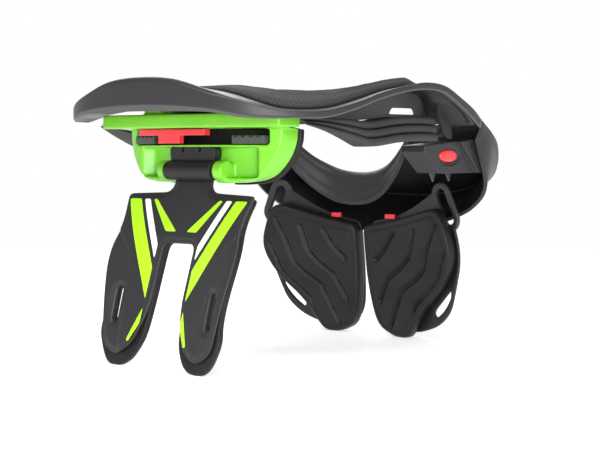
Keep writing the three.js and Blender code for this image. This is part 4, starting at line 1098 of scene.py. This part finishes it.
def chest_relief(points, distance):
    size = np.array([CHEST_HALF_WIDTH, CHEST_HEIGHT])
    depth = np.zeros(len(points))
    for line in CHEST_GROOVES:
        near = distance_to(points, np.array(line) * size)
        depth = np.maximum(depth, GROOVE * np.exp(-(near / GROOVE_HALF) ** 2))
    faded = np.clip((distance - BORDER) / BORDER_FADE, 0, 1)
    border = BORDER_GROOVE * np.exp(-((distance - BORDER) / BORDER_WIDTH) ** 2)
    return depth * faded + border - CROWN * np.clip(distance / CROWN_REACH, 0, 1)


def plate_bend(x, z):
    return chest_bend(x, z) + CHEST_PAD + CURVED_FIT


chest_outline = rounded_outline(CHEST_PAD_OUTLINE, CHEST_HALF_WIDTH, CHEST_HEIGHT)
plate_outline = rounded_outline(CHEST_PLATE_OUTLINE, CHEST_HALF_WIDTH, CHEST_HEIGHT)
grip = rounded_outline(GRIP_OPENING, CHEST_HALF_WIDTH, CHEST_HEIGHT)
LOOP_X = 0.86 * CHEST_HALF_WIDTH
LOOP_Z = 0.975 * CHEST_HEIGHT
LOOP_SIZE = (42.0, 21.0)
LOOP_HOLE = (31.0, 9.5)
LOOP_TILT = 0.4
LOOP_PROUD = 0.6
loop_outline = capsule(LOOP_X, LOOP_Z, *LOOP_SIZE, LOOP_TILT)
loop_hole = capsule(LOOP_X, LOOP_Z, *LOOP_HOLE, LOOP_TILT)
for side, side_name in SIDES:
    foam = panel(f"chest_foam_{side_name}", chest_outline, CHEST_PAD, chest_bend, (), 1.2, 3.0, 1.5,
                 chest_relief, turn=side)
    dress(foam, eva_black, "eva_foam", "front", f"chest_pad_{side_name}", crease=60)
    plate = panel(f"chest_back_{side_name}", plate_outline, CHEST_PLATE, plate_bend, [grip], 2.4, 1.0, 1.0,
                  turn=side)
    cut_out(plate, prism("loop_room", loop_hole * (side, 1), 50.0, 120.0, axis=1))
    dress(plate, nylon_black, "black_plastic", "front", f"chest_plate_{side_name}", crease=40)
    ring = panel(f"strap_loop_{side_name}", loop_outline, CHEST_PLATE + LOOP_PROUD, plate_bend,
                 [loop_hole], 1.6, 1.2, 1.2, turn=side)
    dress(ring, nylon_frame, "chassis_plastic", "front", crease=50)

# %% [markdown]
# ## Carrier, hinge bracket and size adjuster
#
# The bright carrier is one moulding with every corner rounded. It is joined and cut from plain
# bodies, then remeshed into small even cells and smoothed, which rounds inner and outer corners
# alike, as its mould does. A slot for the size lever runs across it, and two bosses stand beside
# the hinge. Below its flange it is then bent round the back, and so is the foam behind it.

# %% Moulding helper and carrier
def join_bodies(name, *bodies):
    """One body from several closed ones that overlap."""
    first = bodies[0]
    first.name = name
    for other in bodies[1:]:
        weld = first.modifiers.new("join", "BOOLEAN")
        weld.operation = "UNION"
        weld.solver = "EXACT"
        weld.object = other
        apply_modifiers(first)
        bpy.data.objects.remove(other)
    return first


def mould(piece, cell, rounds):
    """Even cells of that size in millimetres, smoothed so that corners round off."""
    cells = piece.modifiers.new("cells", "REMESH")
    cells.mode = "VOXEL"
    cells.voxel_size = cell * MM
    soft = piece.modifiers.new("soft", "SMOOTH")
    soft.factor = 0.5
    soft.iterations = rounds
    apply_modifiers(piece)
    return piece


def slab(name, half_width, rear_y, front_y, low, high):
    return box_body(name, (-half_width, rear_y, low), (half_width, front_y, high))


CARRIER_TOP = 186.5
CARRIER_BOTTOM = 135.5
CARRIER_HALF_WIDTH = 78.0
CARRIER_FLANGE = 90.0
FLANGE_HEIGHT = 10.5
FLANGE_OVERHANG = 5.0
CARRIER_REAR = -128.0
CARRIER_DEPTH = 19.0
CARRIER_FRONT = CARRIER_REAR + CARRIER_DEPTH
POCKET_DEPTH = 10.0
SLOT_HALF = 67.5
SLOT_TOP = CARRIER_TOP - FLANGE_HEIGHT - 0.5
SLOT_BOTTOM = SLOT_TOP - 11.5
SLOT_SLACK = 0.4
SLOT_LEDGE = 2.0
CARRIER_OUTLINE = [(0.98, 1.0, 3), (1.0, 0.66, 10), (0.93, 0.34, 14), (0.76, 0.05, 12), (0.5, 0.0, 8)]
CARRIER_WRAP = 14.0
SWING_ROOM = 3.0
POST_X = 40.0
POST_HALF = 9.0
POST_TOP = 192.9
BOSS_RADIUS = 7.6
BOSS_IN = 24.2
BOSS_OUT = 33.0
POCKET_OUTLINE = [(62.0, -140.0), (60.0, -128.0), (52.0, -118.0)]
CUT_PAST = 10.0
BACKING = 4.5
BACKING_GROW = 1.5


def carrier_loop(grow):
    height = CARRIER_TOP - CARRIER_BOTTOM + grow
    loop = rounded_outline(CARRIER_OUTLINE, CARRIER_HALF_WIDTH + grow, height, True)
    return loop + (0, CARRIER_BOTTOM - grow)


def swing_room():
    """The room in which the strut's neck swings."""
    return slab("swing_room", BOSS_IN, CARRIER_REAR - CUT_PAST, CARRIER_FRONT + 2 * CUT_PAST,
                CARRIER_BOTTOM - 9, HINGE_Z - SWING_ROOM)


def post(side):
    """A post that joins the carrier to the table above it."""
    return box_body("post", (side * POST_X - POST_HALF, CARRIER_REAR, CARRIER_TOP - 2),
                    (side * POST_X + POST_HALF, CARRIER_FRONT - 6, POST_TOP))


def boss(side):
    """A round boss beside the hinge, and the web behind it."""
    reach = span(side, BOSS_IN, BOSS_OUT)
    return [prism("boss", round_outline(BOSS_RADIUS, HINGE_Y + 1, HINGE_Z), *reach),
            box_body("boss_web", (reach[0], HINGE_Y, HINGE_Z - 6),
                     (reach[1], CARRIER_FRONT - 2, HINGE_Z + 5))]


left_boss, right_boss = boss(-1), boss(1)
carrier = join_bodies(
    "bright_carrier",
    prism("carrier_body", carrier_loop(0), CARRIER_REAR, CARRIER_FRONT, axis=1),
    slab("flange", CARRIER_FLANGE, CARRIER_REAR - FLANGE_OVERHANG, CARRIER_FRONT,
         CARRIER_TOP - FLANGE_HEIGHT, CARRIER_TOP),
    post(-1), post(1))
cut_out(
    carrier,
    slab("slot", SLOT_HALF, CARRIER_REAR - CUT_PAST, CARRIER_FRONT + CUT_PAST, SLOT_BOTTOM - SLOT_SLACK,
         SLOT_TOP),
    prism("pocket", POCKET_OUTLINE + [(-x, y) for x, y in POCKET_OUTLINE[::-1]], CARRIER_BOTTOM + 4,
          SLOT_BOTTOM - SLOT_LEDGE, axis=2))
carrier = join_bodies("bright_carrier", carrier, left_boss[0], right_boss[0], left_boss[1], right_boss[1])
cut_out(
    carrier,
    slab("barrel_room", BOSS_IN, CARRIER_REAR - 2 * CUT_PAST, CARRIER_REAR + POCKET_DEPTH,
         CARRIER_BOTTOM - 9, SLOT_BOTTOM - SLOT_LEDGE),
    swing_room())


def wrapped(piece):
    """Bends what lies below the flange round the back, the more the further from the middle."""
    points = np.empty(len(piece.data.vertices) * 3)
    piece.data.vertices.foreach_get("co", points)
    points = points.reshape(-1, 3)
    below = np.clip((CARRIER_TOP - FLANGE_HEIGHT) - points[:, 2] / MM, 0, 1)
    points[:, 1] += below * CARRIER_WRAP * MM * (points[:, 0] / (CARRIER_HALF_WIDTH * MM)) ** 2
    piece.data.vertices.foreach_set("co", points.ravel())
    piece.data.update()
    return piece


wrapped(mould(carrier, 0.8, 14))
dress(carrier, abs_lime, "lime_plastic", "rear", "thoracic_carrier", crease=60)

backing = prism("carrier_foam", carrier_loop(BACKING_GROW), CARRIER_FRONT + PAD_GAP,
                CARRIER_FRONT + PAD_GAP + BACKING, axis=1)
cut_out(backing, swing_room(),
        slab("top_room", HALF_WIDTH, CARRIER_FRONT, CARRIER_FRONT + 2 * CUT_PAST, CARRIER_TOP - 4,
             CARRIER_TOP + 9))
wrapped(mould(backing, 1.0, 4))
dress(backing, eva_black, "black_plastic", "rear", "carrier_backing")

# %% [markdown]
# ## Small moulded parts
#
# The latch housings, the lock tabs, the size lever and its blocks are small mouldings whose packed
# shapes are right but have knife edges. Each is copied, turned into small cells and smoothed, so
# that its edges catch a line of light. The hinge bracket is a plate joined with the hinge's barrel,
# and its surface is coarser.

# %% Small mouldings
def moulded_copy(node, name, cell, rounds, *cuts):
    """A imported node's own shape as a new piece, with its edges rounded."""
    piece = bpy.data.objects.new(name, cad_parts[node].data.copy())
    piece.data.materials.clear()
    bpy.context.scene.collection.objects.link(piece)
    mould(piece, cell, rounds)
    return cut_out(piece, *cuts)


# Its second colour is the painted edge highlight on convex corners.
nylon_pebbled = moulded_plastic("cast_nylon_pebbled", "#1c1b1d", "#4e4c50", 0.5, 1.1, 0.16)
BARREL_RADIUS = 7.2
BRACKET_HALF = 23.0
BARREL_HALF = BRACKET_HALF + 0.5
BRACKET_TOP = SLOT_BOTTOM - 0.7
BRACKET_OUTLINE = [
    (1.0, HINGE_Z - 2, 0), (0.93, HINGE_Z + 8, 5), (1.0, BRACKET_TOP - 8, 5), (0.98, BRACKET_TOP, 7),
]
BRACKET_REAR = -126.5
BRACKET_FRONT = -118.4
HOOK_PLACES = (-9.7, 7.4)
HOOK_HALF = 1.2
HOOK_REAR = -140.0
HOOK_FRONT = -123.0
HOOK_DEPTH = 5.0
bracket_loop = rounded_outline(BRACKET_OUTLINE, BRACKET_HALF, 1.0, True)
bracket = join_bodies(
    "bracket_casting",
    prism("plate", bracket_loop, BRACKET_REAR, BRACKET_FRONT, axis=1),
    prism("barrel", round_outline(BARREL_RADIUS, HINGE_Y, HINGE_Z), -BARREL_HALF, BARREL_HALF))
hooks = [box_body("hook", (x - HOOK_HALF, HOOK_REAR, BRACKET_TOP - HOOK_DEPTH),
                  (x + HOOK_HALF, HOOK_FRONT, BRACKET_TOP + 3.0)) for x in HOOK_PLACES]
cut_out(bracket, *hooks)
KEYHOLE_X = (119.0, 125.0)
KEYHOLE_Y = (64.0, 67.4)
KEYHOLE_Z = (161.5, 165.0)
dress(mould(bracket, 0.5, 5), nylon_pebbled, "black_plastic", "rear", "hinge_bracket", crease=60)
dress(wrapped(moulded_copy("size_lever", "size_slider", 0.4, 4)), acetal_red, "red_plastic", "lever",
      "size_lever", crease=60)
for side, side_name in SIDES:
    node = f"adjuster_block_{side_name}"
    dress(wrapped(moulded_copy(node, f"rack_{side_name}", 0.35, 2)), nylon_grey, "grey_plastic",
          "rear", node, crease=60)
    node = f"lock_tab_{side_name}"
    dress(moulded_copy(node, f"tab_{side_name}", 0.3, 4), acetal_red, "red_plastic", "front", node,
          crease=60)
    node = f"latch_housing_{side_name}"
    reach = span(side, *KEYHOLE_X)
    keyhole = box_body("keyhole", (reach[0], KEYHOLE_Y[0], KEYHOLE_Z[0]),
                       (reach[1], KEYHOLE_Y[1], KEYHOLE_Z[1]))
    dress(moulded_copy(node, f"latch_case_{side_name}", 0.6, 3, keyhole), nylon_frame, "chassis_plastic",
          "front", node, crease=45)

# %% [markdown]
# The release buttons are domed ovals. Rings of one oval, each smaller and higher than the last,
# make the dome, and the loft joins them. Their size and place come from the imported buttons.

# %% Release buttons and pins
DOME = [
    (1.0, -1.0), (1.0, -0.28), (0.97, -0.16), (0.9, -0.06), (0.75, 0.02), (0.5, 0.08), (0.2, 0.1),
    (0.02, 0.1),
]


def oval(y, z, length, height, steps=48):
    angles = np.linspace(0, 2 * math.pi, steps, endpoint=False)
    return np.column_stack([y + np.cos(angles) * length / 2, z + np.sin(angles) * height / 2])


for side, side_name in SIDES:
    low, high = (np.array(corner) / MM - (0, MIDDLE_Y, 0)
                 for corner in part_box(f"release_button_{side_name}"))
    middle, size = (low + high) / 2, high - low
    face = high[0] if side > 0 else low[0]
    rings = []
    for grow, rise in DOME:
        ring_yz = oval(middle[1], middle[2], size[1] * grow, size[2] * grow)
        rings.append(np.insert(ring_yz, 0, face + side * rise * size[0], axis=1))
    dress(loft(f"button_cap_{side_name}", rings), acetal_red, "red_plastic", f"button_{side_name}",
          f"release_button_{side_name}", crease=60)

pin_low, pin_high = (np.array(corner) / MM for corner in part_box("hinge_pin"))
pin_radius = (pin_high[2] - pin_low[2]) / 2
pin_outline = round_outline(pin_radius, HINGE_Y, HINGE_Z)
hinge_pin = prism("turned_hinge_pin", pin_outline, pin_low[0], pin_high[0])
dress(bevel(hinge_pin, 0.5, 3), steel, "steel", "rear", "hinge_pin")
post_low, post_high = (np.array(corner) / MM - (0, MIDDLE_Y, 0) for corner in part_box("pivot_pin"))
post_middle = (post_low + post_high) / 2
post_outline = round_outline((post_high[0] - post_low[0]) / 2, post_middle[0], post_middle[1])
dress(bevel(prism("turned_pivot_pin", post_outline, post_low[2], post_high[2], axis=2), 0.4, 3), steel,
      "steel", "rear", "pivot_pin")

# %% [markdown]
# Under each arm a hooked blade reaches down to the latch, and two bars brace it. Two small ribs
# stand under each latch housing. On the wearer's left a lug on the rear half and a knuckle on the
# front half hold the pivot pin.

# %% Latch blades, ribs and pivot lug
BLADE = [(34.0, 199.0, 1), (36.0, 189.0, 4), (44.0, 184.0, 6), (49.0, 175.0, 5), (49.0, 168.0, 1),
         (42.0, 168.0, 3), (36.0, 175.0, 6), (32.0, 184.0, 4), (30.0, 199.0, 1)]
BLADE_INNER_X = 112.0
BLADE_OUTER_X = 114.6
BAR_X = (106, 113)
BAR_Y = (20.0, 40.0)
BAR_HEIGHTS = (170.0, 176.5)
BAR_THICKNESS = 1.8
for side, side_name in SIDES:
    blade_outline = rounded_outline(BLADE, 1.0, 1.0)
    reach = span(side, BLADE_INNER_X, BLADE_OUTER_X)
    bar_reach = span(side, *BAR_X)
    bars = [box_body("bar", (bar_reach[0], BAR_Y[0], z), (bar_reach[1], BAR_Y[1], z + BAR_THICKNESS))
            for z in BAR_HEIGHTS]
    blade = join_bodies(f"latch_blade_{side_name}", prism("blade", blade_outline, *reach), *bars)
    dress(bevel(blade, 0.4), nylon_frame, "chassis_plastic", "rear", crease=45)

RIB_PLACES = (44.0, 67.0)
RIB_DROP = 8.0
RIB_HALF = 4.0
RIB_INSET = 1.0
RIB_THICKNESS = 1.4
for side, side_name in SIDES:
    case_low, case_high = (np.array(corner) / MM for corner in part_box(f"latch_housing_{side_name}"))
    face_x = case_low[0] if side > 0 else case_high[0]
    reach = sorted((face_x + side * RIB_INSET, face_x + side * (RIB_INSET + RIB_THICKNESS)))
    top = case_low[2] + RIB_INSET
    for number, y in enumerate(RIB_PLACES):
        rib = [(y - RIB_HALF, top), (y + RIB_HALF, top), (y + RIB_HALF / 4, top - RIB_DROP)]
        dress(prism(f"latch_rib_{side_name}_{number + 1}", rib, *reach), nylon_frame,
              "chassis_plastic", "front", crease=45)

PIVOT = np.array([post_middle[0], post_middle[1]])
EYE_RADIUS = 4.8
LUG_TOP = 0.832 * BRACE_HEIGHT - PAD_GAP
LUG_LOW = LUG_TOP - 6.0
eye = prism("pivot_lug", round_outline(EYE_RADIUS, *PIVOT), LUG_LOW, LUG_TOP, axis=2)
web_outline = [PIVOT + (0, -EYE_RADIUS), PIVOT + (0, 2.0), (-83.0, 52.0), (-83.0, 44.0)]
web = prism("web", web_outline, LUG_LOW + 0.01, LUG_TOP - 0.01, axis=2)
dress(bevel(join_bodies("pivot_lug", eye, web), 0.5), nylon_frame, "chassis_plastic", "rear", crease=45)
knuckle_top = 0.864 * BRACE_HEIGHT
front_knuckle = prism("pivot_knuckle", round_outline(EYE_RADIUS, *PIVOT), LUG_TOP + PAD_GAP,
                      knuckle_top, axis=2)
dress(bevel(front_knuckle, 0.6), nylon_frame, "chassis_plastic", "front", crease=45)

# %% [markdown]
# ## The stage
#
# The photograph is a product shot on white: the table and the background are one bright sweep, and
# large soft lights leave faint shadows. Here a round table top glows a little and fades into the
# background. The camera stands level with the ring, behind the wearer's
# right shoulder, with a long lens.

# %% Floor, light and camera
FOCAL_SHARE = 1400 / 600
SENSOR_MM = 36.0
AZIMUTH = math.radians(39.4)
ELEVATION = math.radians(3.2)
CAMERA_DISTANCE = 1141.0
AIM_Z = 97.0


FLOOR_GLOW = 0.42
FLOOR_RADIUS = 1250.0
floor_edge = round_outline(FLOOR_RADIUS, 0.0, 0.0, 96)
floor = make_mesh("floor", np.insert(floor_edge, 2, 0.0, axis=1), [tuple(range(len(floor_edge)))])
floor_material, floor_tree, floor_output, floor_coordinates = new_material("white_card")
floor_noise = add(floor_tree, "ShaderNodeTexNoise", {"Vector": (floor_coordinates, "Object")},
                  {"Scale": 3.0})
floor_shade = blend(floor_tree, (floor_noise, "Fac"), linear("#f4f4f4"), linear("#fafafa"))
surface(floor_tree, floor_output, {"Base Color": (floor_shade, 2)},
        {"Roughness": 0.6, "Emission Color": (1.0, 1.0, 1.0, 1.0), "Emission Strength": FLOOR_GLOW})
floor.data.materials.append(floor_material)

DOME_LIGHT = 0.3
world = bpy.data.worlds.new("studio")
bpy.context.scene.world = world
world.use_nodes = True
sky = world.node_tree
direction = add(sky, "ShaderNodeTexCoord")
height = add(sky, "ShaderNodeSeparateXYZ", {"Vector": (direction, "Generated")})
dome = add(sky, "ShaderNodeMapRange", {"Value": (height, "Z")},
           {"From Min": 0.1, "From Max": 0.4, "To Min": 1.0, "To Max": DOME_LIGHT})
sky.links.new(dome.outputs["Result"], sky.nodes["Background"].inputs["Strength"])
sky.nodes["Background"].inputs["Color"].default_value = (1.0, 1.0, 1.0, 1.0)


def softbox(name, place, aim, size, watts):
    """A square area light that points at a drawing-frame point."""
    lamp = bpy.data.lights.new(name, "AREA")
    lamp.size = size * MM
    lamp.energy = watts
    light = bpy.data.objects.new(name, lamp)
    start, goal = (Vector(metres([p])[0]) for p in (place, aim))
    light.location = start
    light.rotation_euler = (goal - start).to_track_quat("-Z", "Y").to_euler()
    bpy.context.scene.collection.objects.link(light)
    return light


softbox("key", (300, -700, 1100), (0, 0, 120), 700, 13)
softbox("fill", (780, -700, 230), (60, 40, 110), 450, 8)
softbox("rim", (-700, 600, 800), (0, 0, 150), 700, 6)

camera_data = bpy.data.cameras.new("camera")
camera_data.lens = SENSOR_MM * FOCAL_SHARE
camera_data.sensor_width = SENSOR_MM
camera = bpy.data.objects.new("camera", camera_data)
backwards = Vector((math.sin(AZIMUTH) * math.cos(ELEVATION), -math.cos(AZIMUTH) * math.cos(ELEVATION),
                    math.sin(ELEVATION)))
target = Vector(metres([(0, 0, AIM_Z)])[0])
camera.location = target + backwards * CAMERA_DISTANCE * MM
camera.rotation_euler = (-backwards).to_track_quat("-Z", "Y").to_euler()
bpy.context.scene.collection.objects.link(camera)
bpy.context.scene.camera = camera
bpy.context.scene.view_settings.view_transform = "Standard"
